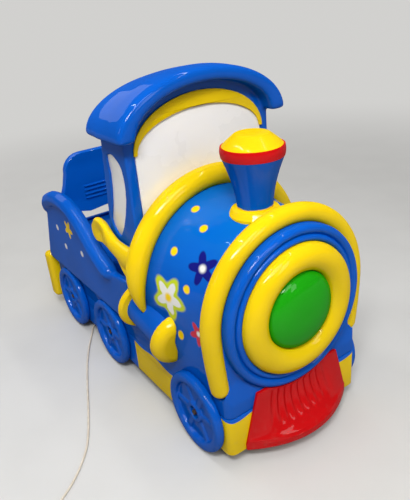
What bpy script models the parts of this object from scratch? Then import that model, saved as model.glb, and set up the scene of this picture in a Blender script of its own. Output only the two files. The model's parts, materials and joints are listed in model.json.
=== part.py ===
"""Children's rocking ride in the shape of a small steam locomotive.

Metres, +Z up, +X towards the front, origin on the floor under the middle of the ride.
The moulded body hinges at the rear of a steel base; a gear motor, crank and rod lift its front.
"""
import math

import bmesh
import bpy
from mathutils import Matrix, Vector

# Fits
CLEAR = 0.0003              # gap between pieces that touch
RUNNING = 0.0005            # radial play of a shaft in its bore

# Skirt, the lower band of the body
BODY_HALF_WIDTH = 0.262
SKIRT_FRONT = 0.618
SKIRT_REAR = -0.640
SKIRT_BOTTOM = 0.053
SKIRT_TOP = 0.186
SKIRT_WALL = 0.020
SKIRT_CORNER = 0.024

# Wheels and axles
WHEEL_X = {"rear": -0.475, "middle": -0.108, "front": 0.470}
WHEEL_Z = 0.138
WHEEL_RADIUS = 0.1306
WHEEL_WIDTH = 0.028
WHEEL_SIDE_GAP = 0.002
RIM_DEPTH = 0.034
HUB_RADIUS = 0.030
HUB_RECESS = 0.004
WEB_RECESS = 0.012
RIM_ROUND = 0.010
AXLE_RADIUS = 0.008
AXLE_SHORT = 0.006   # how far an axle end stops inside the wheel's outer face

# Boiler and smokebox
AXIS_Z = 0.458
BOILER_BULGE = 0.028        # rear radius of the barrel beyond the body side
BOILER_TAPER = 0.0475       # how much smaller the front radius is
BOILER_WALL = 0.012
BOILER_CHINE = 0.300        # height where the upright sides turn towards the barrel
SMOKEBOX_BACK = 0.547
SMOKEBOX_FRONT = 0.603
CHEEK_TOP = 0.232           # top of the blocks beside the cow-catcher, at their front
FRONT_HOOP_RISE = 0.0295    # hoop axis outside the barrel's front radius
FRONT_HOOP_TUBE = 0.0285
HOOP_GAP = 0.0008           # between the front hoop and the smokebox
FRONT_HOOP_AHEAD = 0.007    # back of the front hoop ahead of the boiler
FRONT_LEG_DROP = 0.188      # length of the hoop's legs below the boiler axis
FRONT_LEG_TUCK = 0.020      # how far the legs lean in at their ends
LEG_TAPER = 0.18            # share of its thickness that a leg loses at its end
REAR_HOOP_RISE = 0.024
REAR_HOOP_TUBE = 0.035
REAR_HOOP_DROP = 13.0
REAR_HOOP_TAPER = 24.0      # degrees above the horizontal where the ends start to thin
REAR_HOOP_TIP = 0.006

# Smokebox front
RING_FRONT = 0.634
RING_RISE = 0.0065           # ring outside the barrel's front radius
BEAD_HEIGHT = 0.016
RING_WIDTH = 0.049          # blue ring between its edge and the door
DOOR_BULGE = 0.030
DOOR_WIDTH = 0.082          # yellow door ring between its edge and the lens
LENS_BULGE = 0.044

# Cow-catcher
SCOOP_TOP_HALF = 0.159
SCOOP_TOP_Z = 0.240
SCOOP_LIP_HALF = 0.206
SCOOP_REACH = 0.0817        # how far the middle of the lip stands out from the skirt
SCOOP_LIP = 0.020
SCOOP_TOP_THICK = 0.010
SCOOP_COLUMNS = 16
SCOOP_ROWS = 7

# Chimney
CHIMNEY_X = 0.460
CHIMNEY_FOOT_RADIUS = 0.078
CHIMNEY_NECK_RADIUS = 0.052
CHIMNEY_MOUTH_RADIUS = 0.088
CHIMNEY_FOOT_RISE = 0.011   # neck above the top of the barrel
CHIMNEY_HEIGHT = 0.147      # neck to band
CHIMNEY_BAND_HEIGHT = 0.030
CHIMNEY_BAND_BULGE = 0.003
CHIMNEY_CAP_HEIGHT = 0.034
CHIMNEY_CAP_TOP = 0.040

# Steam cylinders on the sides
CYLINDER_Z = 0.353          # height of the axis halfway along
CYLINDER_TILT = 11.0        # degrees down towards the front
CYLINDER_OFFSET = 0.012   # axis inside the body side
CYLINDER_REAR = 0.150
CYLINDER_FRONT = 0.388
CYLINDER_RADIUS = 0.068
FLANGE_RADIUS = 0.090
FLANGE_WIDTH = 0.018
CAP_RADIUS = 0.088
CAP_LENGTH = 0.043

# Cab
BULKHEAD_FRONT = 0.215
BULKHEAD_THICK = 0.0197
CAB_PROUD = 0.003           # cab wall outside the body side
CAB_WALL = 0.020
CAB_SIDE_BOTTOM = 0.578
CAB_EAVE_Z = 0.923
CAB_REAR_TOP = 0.065
CAB_REAR_BOTTOM = 0.020
ROOF_REAR = 0.022
ROOF_OVERHANG = 0.053
ROOF_EAVES = 0.038          # roof edge outside the cab wall
ROOF_RISE = 0.172
ROOF_THICK = 0.044
ROOF_SECTIONS = ((0.0, 0.013, 0.036), (0.05, 0.006, 0.028), (0.35, 0.001, 0.012), (0.70, 0.0, 0.0), (0.93, 0.0, 0.002),
                 (1.0, 0.006, 0.010))   # place along the roof, and how much narrower and lower it is there
SCREEN_FRAME = 0.0335       # cab wall to the windscreen's edge
SCREEN_SILL_Z = 0.618
SCREEN_SPRING_Z = 0.876
SCREEN_RISE = 0.142
SCREEN_THICK = 0.006
TRIM_RISE = 0.104
TRIM_PROUD = 0.006
WINDOW_OUTLINE = ((0.089, 0.866), (0.112, 0.872), (0.138, 0.867), (0.162, 0.854), (0.178, 0.834), (0.184, 0.792), (0.177, 0.744),
                  (0.157, 0.690), (0.130, 0.640), (0.099, 0.600), (0.080, 0.604), (0.058, 0.624), (0.050, 0.646), (0.072, 0.700),
                  (0.087, 0.760), (0.093, 0.806), (0.088, 0.845))
SILL_TUBE = 0.034
SILL_PATH = ((0.170, 0.574, 1.0), (0.130, 0.581, 0.95), (0.095, 0.592, 0.92), (0.062, 0.605, 0.94), (0.035, 0.614, 1.0),
             (0.012, 0.613, 1.06), (0.002, 0.604, 1.06))

# Dashboard, steering wheel and start button
DASH_DEPTH = 0.105
DASH_LEDGE = 0.065
DASH_TOP = 0.698
DASH_LIP = 0.040
COLUMN_RADIUS = 0.014
COLUMN_LENGTH = 0.090
STEEring_radius = 0.100
STEERING_TUBE = 0.011
STEERING_HUB = 0.030
BUTTON_RADIUS = 0.018
BUTTON_HEIGHT = 0.014
BUTTON_INSET = 0.0847       # button from the dashboard's right end
BUTTON_DEPTH = 0.012        # stem inside the dashboard
BUTTON_TRAVEL = 0.006

# Tub, seat and tender
TUB_FLOOR = 0.015
TUB_WALL = 0.020
TUB_TOP = 0.378
SEAT_TOP = 0.398
SEAT_FRONT = -0.150
SEAT_THICK = 0.020
TENDER_THICK = 0.0277
TENDER_FRONT = 0.128
WAIST_TOP = 0.455           # top of the side ahead of the rolled rim
RIM_TUBE = 0.032
RIM_OUTSET = 0.022          # rim axis outside the body side
RIM_PATH = ((-0.556, 0.530), (-0.538, 0.553), (-0.505, 0.575), (-0.440, 0.598), (-0.370, 0.606), (-0.300, 0.602), (-0.245, 0.584),
            (-0.195, 0.558), (-0.150, 0.524), (-0.108, 0.489), (-0.062, 0.462), (-0.010, 0.438))
TENDER_BOTTOM = 0.275
BACK_PANEL_THICK = 0.020
BACK_PANEL_TOP = 0.408
BACK_PANEL_LEAN = 0.011
BACKREST_X = -0.475
BACKREST_THICK = 0.035
BACKREST_BOTTOM = 0.504
BACKREST_TOP = 0.749
BACKREST_INSET = 0.044      # edge of the backrest inside the body side
BACKREST_CORNER = 0.075
BACKREST_WING = 0.052       # height of the wings that reach the tender sides
BUMPER_REAR = -0.700
BUMPER_PROUD = 0.043        # bumper end outside the body side
BUMPER_BOTTOM = 0.068
BUMPER_TOP = 0.288
BUMPER_ROUND = 0.018

# Base and mechanism
FOOT_HEIGHT = 0.008
FOOT_RADIUS = 0.020
FOOT_INSET = 0.030
BASE_REAR = -0.520
BASE_FRONT = 0.420
BASE_HALF_WIDTH = 0.180
BASE_THICK = 0.008
PIVOT_X = -0.430
PIVOT_Z = 0.095
PIVOT_RADIUS = 0.012
STAND_THICK = 0.015
STAND_Y = 0.140
STAND_HALF_LENGTH = 0.040
STAND_RISE = 0.030          # stand height above the pivot
EAR_THICK = 0.012
EAR_Y = 0.110
EAR_HALF_LENGTH = 0.026
EAR_DROP = 0.022            # ear below the pivot
BRACKET_PLATE = 0.014
CRANK_THROW = 0.0126
CRANK_REST = -60.0          # degrees above the horizontal at rest
CRANK_Z = 0.070
CRANK_RADIUS = 0.030
CRANK_THICK = 0.012
CRANK_PIN_RADIUS = 0.008
CRANK_PIN_LENGTH = 0.018
LIFT_PIN_X = -0.150
LIFT_PIN_Z = 0.150
LIFT_PIN_RADIUS = 0.008
LIFT_PIN_LENGTH = 0.018
LIFT_PLAY = 0.0055          # play of the rod's upper eye on the lift pin
LIFT_SET_BACK = 0.0045      # rod axis behind the lift pin at rest
ROD_THICK = 0.012
ROD_SIDE_GAP = 0.0035
EYE_WALL = 0.0085
GEARBOX_Y = -0.020
GEARBOX_WIDTH = 0.100
GEARBOX_LENGTH = 0.090
GEARBOX_TOP = 0.125
MOTOR_RADIUS = 0.036
MOTOR_LENGTH = 0.075
BOX_X = (0.200, 0.360)
BOX_Y = (-0.150, -0.030)
BOX_HEIGHT = 0.085

# Mains lead: gland, free run, coil of the unseen length, plug
CORD_RADIUS = 0.0035
FLOOR_GAP = 0.0003
GLAND_X = -0.405
GLAND_LENGTH = 0.025
GLAND_RADIUS = 0.008
CORD_ROUTE = ((-0.405, -0.224, 0.0120), (-0.399, -0.240, 0.0085), (-0.386, -0.252, 0.0050), (-0.366, -0.265, 0.0038),
              (-0.319, -0.294, 0.0038), (-0.265, -0.326, 0.0038), (-0.185, -0.369, 0.0038), (-0.087, -0.414, 0.0038),
              (0.039, -0.467, 0.0038), (0.112, -0.498, 0.0038), (0.179, -0.528, 0.0038), (0.224, -0.551, 0.0038),
              (0.257, -0.571, 0.0038), (0.292, -0.598, 0.0038), (0.323, -0.626, 0.0038), (0.356, -0.661, 0.0038),
              (0.386, -0.702, 0.0038), (0.415, -0.745, 0.0038), (0.446, -0.790, 0.0038))
CORD_STEP = 0.0205
COIL_TURNS = 3              # in the lower layer, half a turn less above
COIL_INNER = 0.0310
COIL_PITCH = 0.0079
COIL_DIP = 0.0024
LOOP_POINTS = 22
TAIL_LENGTH = 0.050
PLUG_RADIUS = 0.019
PLUG_LENGTH = 0.042
PLUG_BOOT = 0.020
PIN_RADIUS = 0.0024
PIN_LENGTH = 0.019
PIN_SPACING = 0.019

# Facets
ROUND = 34
HOOP_POINTS = 32
LEG_POINTS = 5
WHEEL_ROUND = 24
SMALL_ROUND = 18

# Finishes: colour, roughness, metallic
BLUE = ("blue gelcoat", (0.004, 0.105, 0.56), 0.16, 0.0)
YELLOW = ("yellow gelcoat", (0.90, 0.66, 0.005), 0.18, 0.0)
WHITE = ("white panel", (0.84, 0.82, 0.80), 0.30, 0.0)
RED = ("red gelcoat", (0.62, 0.004, 0.006), 0.16, 0.0)
GREEN = ("green lens", (0.015, 0.40, 0.006), 0.12, 0.0)
STEEL = ("zinc plated steel", (0.55, 0.56, 0.57), 0.35, 1.0)
DARK_STEEL = ("black painted steel", (0.03, 0.03, 0.032), 0.45, 0.2)
RUBBER = ("black rubber", (0.02, 0.02, 0.02), 0.80, 0.0)
GREY = ("grey plastic", (0.25, 0.26, 0.27), 0.50, 0.0)
CREAM = ("cream flex", (0.76, 0.69, 0.57), 0.45, 0.0)

# Maps from a shape's own axes to the world, for shapes turned or extruded along X, Y or Z
ALONG_X = Matrix(((0, 0, 1), (1, 0, 0), (0, 1, 0))).to_4x4()
ALONG_Y = Matrix(((0, 1, 0), (0, 0, 1), (1, 0, 0))).to_4x4()
ALONG_MINUS_Y = Matrix(((0, -1, 0), (0, 0, -1), (1, 0, 0))).to_4x4()
ACROSS_Y = Matrix(((1, 0, 0), (0, 0, -1), (0, 1, 0))).to_4x4()
ALONG_Z = Matrix.Identity(4)


for old in list(bpy.data.objects):
    bpy.data.objects.remove(old, do_unlink=True)

ride = bpy.data.collections.new("locomotive_ride")
tools = bpy.data.collections.new("cutters")
bpy.context.scene.collection.children.link(ride)
bpy.context.scene.collection.children.link(tools)


def finish_material(finish):
    label, colour, roughness, metallic = finish
    material = bpy.data.materials.get(label)
    if material is None:
        material = bpy.data.materials.new(label)
        material.use_nodes = True
        shader = material.node_tree.nodes["Principled BSDF"]
        shader.inputs["Base Color"].default_value = (*colour, 1.0)
        shader.inputs["Roughness"].default_value = roughness
        shader.inputs["Metallic"].default_value = metallic
    return material


def place(name, data, finish, matrix=ALONG_Z):
    """Puts mesh or curve data into the scene as one named piece."""
    piece = bpy.data.objects.new(name, data)
    piece.matrix_world = matrix
    ride.objects.link(piece)
    if finish is not None:
        data.materials.append(finish_material(finish))
    return piece


def as_tool(piece):
    """Turns a piece into a hidden operand for a Boolean."""
    if piece.name in ride.objects:
        ride.objects.unlink(piece)
        tools.objects.link(piece)
    piece.hide_render = True
    piece.display_type = "WIRE"
    return piece


def boolean(piece, operand, operation):
    modifier = piece.modifiers.new(operation.lower() + " " + operand.name, "BOOLEAN")
    modifier.operation = operation
    modifier.object = as_tool(operand)
    return piece


def cut(piece, operand):
    return boolean(piece, operand, "DIFFERENCE")


def join(piece, operand):
    return boolean(piece, operand, "UNION")


def rounded_edges(piece, width, segments=2):
    modifier = piece.modifiers.new("rounded edges", "BEVEL")
    modifier.width = width
    modifier.segments = segments
    modifier.limit_method = "ANGLE"
    return piece


def mesh_from(name, build):
    """Makes a mesh with a function that fills a bmesh."""
    mesh = bpy.data.meshes.new(name)
    shape = bmesh.new()
    build(shape)
    bmesh.ops.recalc_face_normals(shape, faces=shape.faces)
    shape.to_mesh(mesh)
    shape.free()
    return mesh


def box(name, low, high, finish=None):
    low, high = Vector(low), Vector(high)
    middle = Matrix.Translation((low + high) / 2) @ Matrix.Diagonal((*(high - low), 1))
    mesh = mesh_from(name, lambda shape: bmesh.ops.create_cube(shape, size=1.0, matrix=middle))
    return place(name, mesh, finish)


def cylinder(name, radius, start, end, finish=None, sides=SMALL_ROUND):
    start, end = Vector(start), Vector(end)
    turn = Vector((0, 0, 1)).rotation_difference(end - start).to_matrix().to_4x4()
    middle = Matrix.Translation((start + end) / 2) @ turn
    mesh = mesh_from(name, lambda shape: bmesh.ops.create_cone(
        shape, cap_ends=True, segments=sides, radius1=radius, radius2=radius,
        depth=(end - start).length, matrix=middle))
    mesh.shade_smooth()
    mesh.set_sharp_from_angle(angle=math.radians(40))
    return place(name, mesh, finish)


def turned(name, profile, finish, matrix, closed=False, steps=ROUND):
    """A profile of (radius, height) pairs, from top to bottom, spun about its own Z."""
    mesh = bpy.data.meshes.new(name)
    edges = [(i, i + 1) for i in range(len(profile) - 1)]
    if closed:
        edges.append((len(profile) - 1, 0))
    mesh.from_pydata([(radius, 0, height) for radius, height in profile], edges, [])
    piece = place(name, mesh, finish, matrix)
    screw = piece.modifiers.new("spin", "SCREW")
    screw.steps = steps
    screw.render_steps = steps
    screw.use_merge_vertices = True
    screw.merge_threshold = 0.00005
    screw.use_smooth_shade = True
    return piece


def sheet(name, outlines, low, high, finish, matrix):
    """A flat outline, or several where the later ones are holes, with a thickness from low to high."""
    curve = bpy.data.curves.new(name, "CURVE")
    curve.dimensions = "2D"
    curve.fill_mode = "BOTH"
    curve.extrude = (high - low) / 2
    for outline in outlines:
        spline = curve.splines.new("POLY")
        spline.points.add(len(outline) - 1)
        for point, (a, b) in zip(spline.points, outline):
            point.co = (a, b, 0, 1)
        spline.use_cyclic_u = True
    shift = Matrix.Translation((0, 0, (low + high) / 2))
    return place(name, curve, finish, matrix @ shift)


def tube(name, points, radius, finish, round_ends=(False, False), resolution=2):
    """A bent tube along the points, with rounded or flat ends; a fourth value scales the radius there."""
    path = [(Vector(point[:3]), point[3] if len(point) > 3 else 1.0) for point in points]
    for end, rounded in ((0, round_ends[0]), (-1, round_ends[1])):
        if not rounded:
            continue
        tip, full = path[end]
        outward = (tip - path[1 if end == 0 else -2][0]).normalized()
        dome = [(tip + outward * radius * full * math.sin(a), full * math.cos(a)) for a in (0.5, 0.95, 1.3, 1.5)]
        path = dome[::-1] + path if end == 0 else path + dome
    curve = bpy.data.curves.new(name, "CURVE")
    curve.dimensions = "3D"
    curve.bevel_depth = radius
    curve.bevel_resolution = resolution
    curve.use_fill_caps = True
    spline = curve.splines.new("POLY")
    spline.points.add(len(path) - 1)
    for point, (place_at, share) in zip(spline.points, path):
        point.co = (*place_at, 1)
        point.radius = share
    spline.use_smooth = True
    return place(name, curve, finish)


def to_mesh(piece):
    """Makes a curve piece a closed mesh, so that it can be cut or joined."""
    bpy.context.view_layer.update()
    evaluated = piece.evaluated_get(bpy.context.evaluated_depsgraph_get())
    mesh = bpy.data.meshes.new_from_object(evaluated)
    shape = bmesh.new()
    shape.from_mesh(mesh)
    bmesh.ops.remove_doubles(shape, verts=shape.verts, dist=0.00002)
    bmesh.ops.recalc_face_normals(shape, faces=shape.faces)
    shape.to_mesh(mesh)
    shape.free()
    name, matrix = piece.name, piece.matrix_world.copy()
    bpy.data.objects.remove(piece, do_unlink=True)
    solid = bpy.data.objects.new(name, mesh)
    solid.matrix_world = matrix
    ride.objects.link(solid)
    return solid


def loft(name, loops, finish):
    """A closed skin through loops of equally many points; each four-sided patch folds on its shorter diagonal."""
    def build(shape):
        rings = [[shape.verts.new(point) for point in loop] for loop in loops]
        for ring, following in zip(rings, rings[1:]):
            for i, vertex in enumerate(ring):
                j = (i + 1) % len(ring)
                corners = (vertex, ring[j], following[j], following[i])
                first = (corners[0].co - corners[2].co).length
                second = (corners[1].co - corners[3].co).length
                if second < first - 0.000001:
                    corners = corners[1:] + corners[:1]
                shape.faces.new(corners[:3])
                shape.faces.new((corners[0], corners[2], corners[3]))
        shape.faces.new(rings[0])
        shape.faces.new(rings[-1])
    return place(name, mesh_from(name, build), finish)


def arc(centre, radius, start, end, count):
    """Points on an arc or, with a pair of radii, on an ellipse; angles in degrees, both ends included."""
    radii = radius if isinstance(radius, tuple) else (radius, radius)
    angles = [math.radians(start + (end - start) * i / (count - 1)) for i in range(count)]
    return [(centre[0] + radii[0] * math.cos(a), centre[1] + radii[1] * math.sin(a)) for a in angles]


def rounded_box(low, high, radius, count=5):
    corners = (((high[0], high[1]), 0), ((low[0], high[1]), 90), ((low[0], low[1]), 180), ((high[0], low[1]), 270))
    outline = []
    for (x, y), start in corners:
        centre = (x - math.copysign(radius, x - (low[0] + high[0]) / 2),
                  y - math.copysign(radius, y - (low[1] + high[1]) / 2))
        outline += arc(centre, radius, start, start + 90, count)
    return outline


def sides():
    """The two sides of the ride with their sign along Y."""
    return (("left", 1), ("right", -1))


boiler_rear_radius = BODY_HALF_WIDTH + BOILER_BULGE
boiler_front_radius = boiler_rear_radius - BOILER_TAPER
front_hoop_radius = boiler_front_radius + FRONT_HOOP_RISE
rear_hoop_radius = boiler_rear_radius + REAR_HOOP_RISE
ring_radius = boiler_front_radius + RING_RISE
door_radius = ring_radius - RING_WIDTH
lens_radius = door_radius - DOOR_WIDTH
cab_half_width = BODY_HALF_WIDTH + CAB_PROUD
roof_half_width = cab_half_width + ROOF_EAVES
screen_half = cab_half_width - SCREEN_FRAME
backrest_half = BODY_HALF_WIDTH - BACKREST_INSET
bumper_half_width = BODY_HALF_WIDTH + BUMPER_PROUD
wheel_inner_y = BODY_HALF_WIDTH + WHEEL_SIDE_GAP
wheel_outer_y = wheel_inner_y + WHEEL_WIDTH
bulkhead_back = BULKHEAD_FRONT - BULKHEAD_THICK
base_top = FOOT_HEIGHT + BASE_THICK


def make_skirt():
    outer = rounded_box((SKIRT_REAR, -BODY_HALF_WIDTH), (SKIRT_FRONT, BODY_HALF_WIDTH), SKIRT_CORNER)
    inner = rounded_box((SKIRT_REAR + SKIRT_WALL, -BODY_HALF_WIDTH + SKIRT_WALL),
                        (SKIRT_FRONT - SKIRT_WALL, BODY_HALF_WIDTH - SKIRT_WALL), SKIRT_CORNER - SKIRT_WALL)
    skirt = to_mesh(sheet("skirt", [outer, inner], SKIRT_BOTTOM, SKIRT_TOP, YELLOW, ALONG_Z))
    reach = BODY_HALF_WIDTH + SKIRT_WALL
    for label, x in WHEEL_X.items():
        cut(skirt, cylinder(label + " axle hole", AXLE_RADIUS + RUNNING, (x, -reach, WHEEL_Z), (x, reach, WHEEL_Z)))


def make_wheels():
    bore = AXLE_RADIUS + RUNNING
    rim_inner = WHEEL_RADIUS - RIM_DEPTH
    face = WHEEL_WIDTH
    draft = HUB_RECESS / 2
    profile = [(bore, face - HUB_RECESS), (HUB_RADIUS, face - HUB_RECESS), (HUB_RADIUS + draft, face - WEB_RECESS),
               (rim_inner - draft, face - WEB_RECESS), (rim_inner, face - RIM_ROUND / 2), (rim_inner + RIM_ROUND, face),
               (WHEEL_RADIUS - RIM_ROUND, face - RIM_ROUND / 6), (WHEEL_RADIUS - RIM_ROUND / 4, face - RIM_ROUND * 0.7),
               (WHEEL_RADIUS, face - RIM_ROUND * 1.5), (WHEEL_RADIUS, RIM_ROUND), (WHEEL_RADIUS - RIM_ROUND / 2, 0),
               (bore, 0)]
    for label, x in WHEEL_X.items():
        for side, sign in sides():
            turn = ALONG_Y if sign > 0 else ALONG_MINUS_Y
            at = Matrix.Translation((x, sign * wheel_inner_y, WHEEL_Z))
            turned(label + "_wheel_" + side, profile, BLUE, at @ turn, closed=True, steps=WHEEL_ROUND)
        end = wheel_outer_y - AXLE_SHORT
        cylinder(label + "_axle", AXLE_RADIUS, (x, -end, WHEEL_Z), (x, end, WHEEL_Z), STEEL)


def boiler_outline(radius, half_width, bottom):
    """The boiler's section: upright sides on the skirt, then a slope that runs into the barrel."""
    drop = AXIS_Z - BOILER_CHINE
    reach = math.hypot(half_width, drop)
    tangent = math.degrees(math.acos(radius / reach) - math.atan2(drop, half_width))
    side = [(half_width, bottom), (half_width, BOILER_CHINE)]
    return side + arc((0, AXIS_Z), radius, tangent, 180 - tangent, ROUND) + [(-y, z) for y, z in side[::-1]]


def boiler_loops(grow):
    """Outlines at the boiler's two ends, grown or shrunk by a distance."""
    ends = ((BULKHEAD_FRONT + CLEAR, boiler_rear_radius), (SMOKEBOX_BACK - CLEAR, boiler_front_radius))
    loops = []
    for x, radius in ends:
        outline = boiler_outline(radius + grow, BODY_HALF_WIDTH + grow, SKIRT_TOP + CLEAR)
        loops.append([(x, y, z) for y, z in outline])
    return loops


def boiler_core():
    """The boiler as a solid with a clearance around it, to fit other pieces to its side."""
    core = bpy.data.objects.get("boiler core")
    if core is None:
        rear, front = boiler_loops(CLEAR)
        back = [(x - FLANGE_RADIUS, y, z) for x, y, z in rear]
        core = loft("boiler core", [back, rear, front], None)
    return core


def boiler_radius(x):
    share = (x - BULKHEAD_FRONT) / (SMOKEBOX_BACK - BULKHEAD_FRONT)
    return boiler_rear_radius + (boiler_front_radius - boiler_rear_radius) * share


def make_boiler():
    loops = [outer + inner[::-1] for outer, inner in zip(boiler_loops(0), boiler_loops(-BOILER_WALL))]
    cut(loft("boiler_shell", loops, BLUE), hoop_groove())


def smokebox_radius():
    return front_hoop_radius - FRONT_HOOP_TUBE - HOOP_GAP


def make_smokebox():
    bottom = SKIRT_TOP + CLEAR
    outline = boiler_outline(smokebox_radius(), BODY_HALF_WIDTH, bottom)
    box_front = to_mesh(sheet("smokebox", [outline], SMOKEBOX_BACK, SMOKEBOX_FRONT, BLUE, ALONG_X))
    half = BODY_HALF_WIDTH - CLEAR
    middle = (SMOKEBOX_BACK + SMOKEBOX_FRONT) / 2
    ledge = SMOKEBOX_FRONT - HOOP_GAP
    face = SKIRT_FRONT - CLEAR
    profile = [(middle, bottom + CLEAR), (face, bottom + CLEAR), (face, CHEEK_TOP), (ledge, BOILER_CHINE - CLEAR),
               (middle, BOILER_CHINE - CLEAR)]
    cheeks = to_mesh(sheet("cheeks", [profile], -half, half, None, ACROSS_Y))
    plan = rounded_box((SMOKEBOX_BACK, -half), (face, half), SKIRT_CORNER)
    boolean(cheeks, as_tool(to_mesh(sheet("cheek plan", [plan], bottom, BOILER_CHINE, None, ALONG_Z))), "INTERSECT")
    ring_space = ring_radius + 2 * HOOP_GAP
    cut(cheeks, cylinder("ring space", ring_space, (SMOKEBOX_FRONT, 0, AXIS_Z), (RING_FRONT, 0, AXIS_Z), sides=2 * ROUND))
    join(box_front, cheeks)
    cut(box_front, to_mesh(front_hoop_bar("front hoop space", HOOP_GAP * 0.75)))
    at_axis = Matrix.Translation((0, 0, AXIS_Z)) @ ALONG_X
    back = SMOKEBOX_FRONT + CLEAR
    inside = door_radius + CLEAR
    disc = ring_radius
    groove = (disc + door_radius) / 2
    middle = RING_FRONT - BEAD_HEIGHT / 2
    ring = [(inside, RING_FRONT - BEAD_HEIGHT), (inside + BEAD_HEIGHT / 4, RING_FRONT - BEAD_HEIGHT / 3),
            ((inside + groove) / 2, RING_FRONT), (groove - BEAD_HEIGHT / 5, middle + BEAD_HEIGHT / 6), (groove, middle),
            (groove + BEAD_HEIGHT / 4, middle + BEAD_HEIGHT / 4), ((groove + disc) / 2 + BEAD_HEIGHT / 6, RING_FRONT),
            (disc - BEAD_HEIGHT / 3, RING_FRONT - BEAD_HEIGHT / 3), (disc, RING_FRONT - BEAD_HEIGHT), (disc, back),
            (inside, back)]
    turned("smokebox_ring", ring, BLUE, at_axis, closed=True)
    seat = lens_radius + CLEAR
    half = (door_radius - seat) / 2
    crest = seat + half
    bulge = arc((crest, RING_FRONT), (half, DOOR_BULGE), 165, 0, 9)
    door = [(seat, RING_FRONT)] + bulge + [(door_radius, back), (seat, back)]
    turned("door_ring", door, YELLOW, at_axis, closed=True)
    dome = [(0, RING_FRONT + LENS_BULGE)] + arc((0, RING_FRONT), (lens_radius, LENS_BULGE), 78, 0, 7)
    turned("lamp_lens", dome + [(lens_radius, back), (0, back)], GREEN, at_axis)


def front_hoop_bar(name, grow):
    """The front hoop: half a circle on two legs that lean in and sink into the smokebox's sides."""
    leg = []
    for step in range(LEG_POINTS):
        share = 1 - step / LEG_POINTS
        leg.append((front_hoop_radius - FRONT_LEG_TUCK * share ** 1.6, AXIS_Z - FRONT_LEG_DROP * share,
                    1 - LEG_TAPER * share ** 3))
    half_circle = [(y, z, 1) for y, z in arc((0, AXIS_Z), front_hoop_radius, 0, 180, HOOP_POINTS - 2 * LEG_POINTS)]
    bar = leg + half_circle + [(-y, z, thick) for y, z, thick in leg[::-1]]
    thickness = FRONT_HOOP_TUBE + grow
    return tube(name, [(front_hoop_x(), y, z, thick) for y, z, thick in bar], thickness, YELLOW, (True, True), 3)


def tapered_hoop(name, grow):
    """The rear hoop, whose ends thin out against the boiler's side."""
    path = []
    for i in range(HOOP_POINTS):
        angle = -REAR_HOOP_DROP + (180 + 2 * REAR_HOOP_DROP) * i / (HOOP_POINTS - 1)
        above = min(angle, 180 - angle)
        share = min(1.0, max(0.0, (above + REAR_HOOP_DROP) / (REAR_HOOP_TAPER + REAR_HOOP_DROP)))
        thickness = REAR_HOOP_TIP + (REAR_HOOP_TUBE - REAR_HOOP_TIP) * math.sin(share * math.pi / 2)
        radius = rear_hoop_radius - (REAR_HOOP_TUBE - thickness) / 2
        (y, z), = arc((0, AXIS_Z), radius, angle, angle, 2)[:1]
        path.append((rear_hoop_x(), y, z, (thickness + grow) / REAR_HOOP_TUBE))
    return tube(name, path, REAR_HOOP_TUBE, YELLOW, (True, True), 3)


def front_hoop_x():
    return SMOKEBOX_BACK + FRONT_HOOP_AHEAD + FRONT_HOOP_TUBE


def rear_hoop_x():
    return BULKHEAD_FRONT + REAR_HOOP_TUBE + CLEAR


def hoop_groove():
    """The rear hoop's space in the pieces that it is let into."""
    groove = bpy.data.objects.get("hoop groove")
    if groove is None:
        groove = to_mesh(tapered_hoop("hoop groove", CLEAR))
    return groove


def make_hoops():
    front_hoop_bar("front_hoop", 0)
    tapered_hoop("rear_hoop", 0)


def make_cow_catcher():
    ring = ring_radius + 3 * CLEAR
    back = SKIRT_FRONT + CLEAR
    loops = []
    for column in range(SCOOP_COLUMNS + 1):
        across = -1 + 2 * column / SCOOP_COLUMNS
        top_y = across * SCOOP_TOP_HALF
        lip_y = across * SCOOP_LIP_HALF
        top_z = min(SCOOP_TOP_Z, AXIS_Z - math.sqrt(ring ** 2 - top_y ** 2))
        lip_x = back + SCOOP_TOP_THICK + (SCOOP_REACH - SCOOP_TOP_THICK) * (1 - across ** 2)
        loop = [(back, lip_y, SKIRT_BOTTOM), (back, top_y, top_z)]
        for row in range(SCOOP_ROWS + 1):
            down = row / SCOOP_ROWS
            x = back + SCOOP_TOP_THICK + (lip_x - back - SCOOP_TOP_THICK) * down ** 2.2
            y = top_y + (lip_y - top_y) * down
            z = top_z + (SKIRT_BOTTOM + SCOOP_LIP - top_z) * down
            loop.append((x, y, z))
        loop.append((lip_x, lip_y, SKIRT_BOTTOM))
        loops.append(loop)
    loft("cow_catcher", loops, RED)


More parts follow.
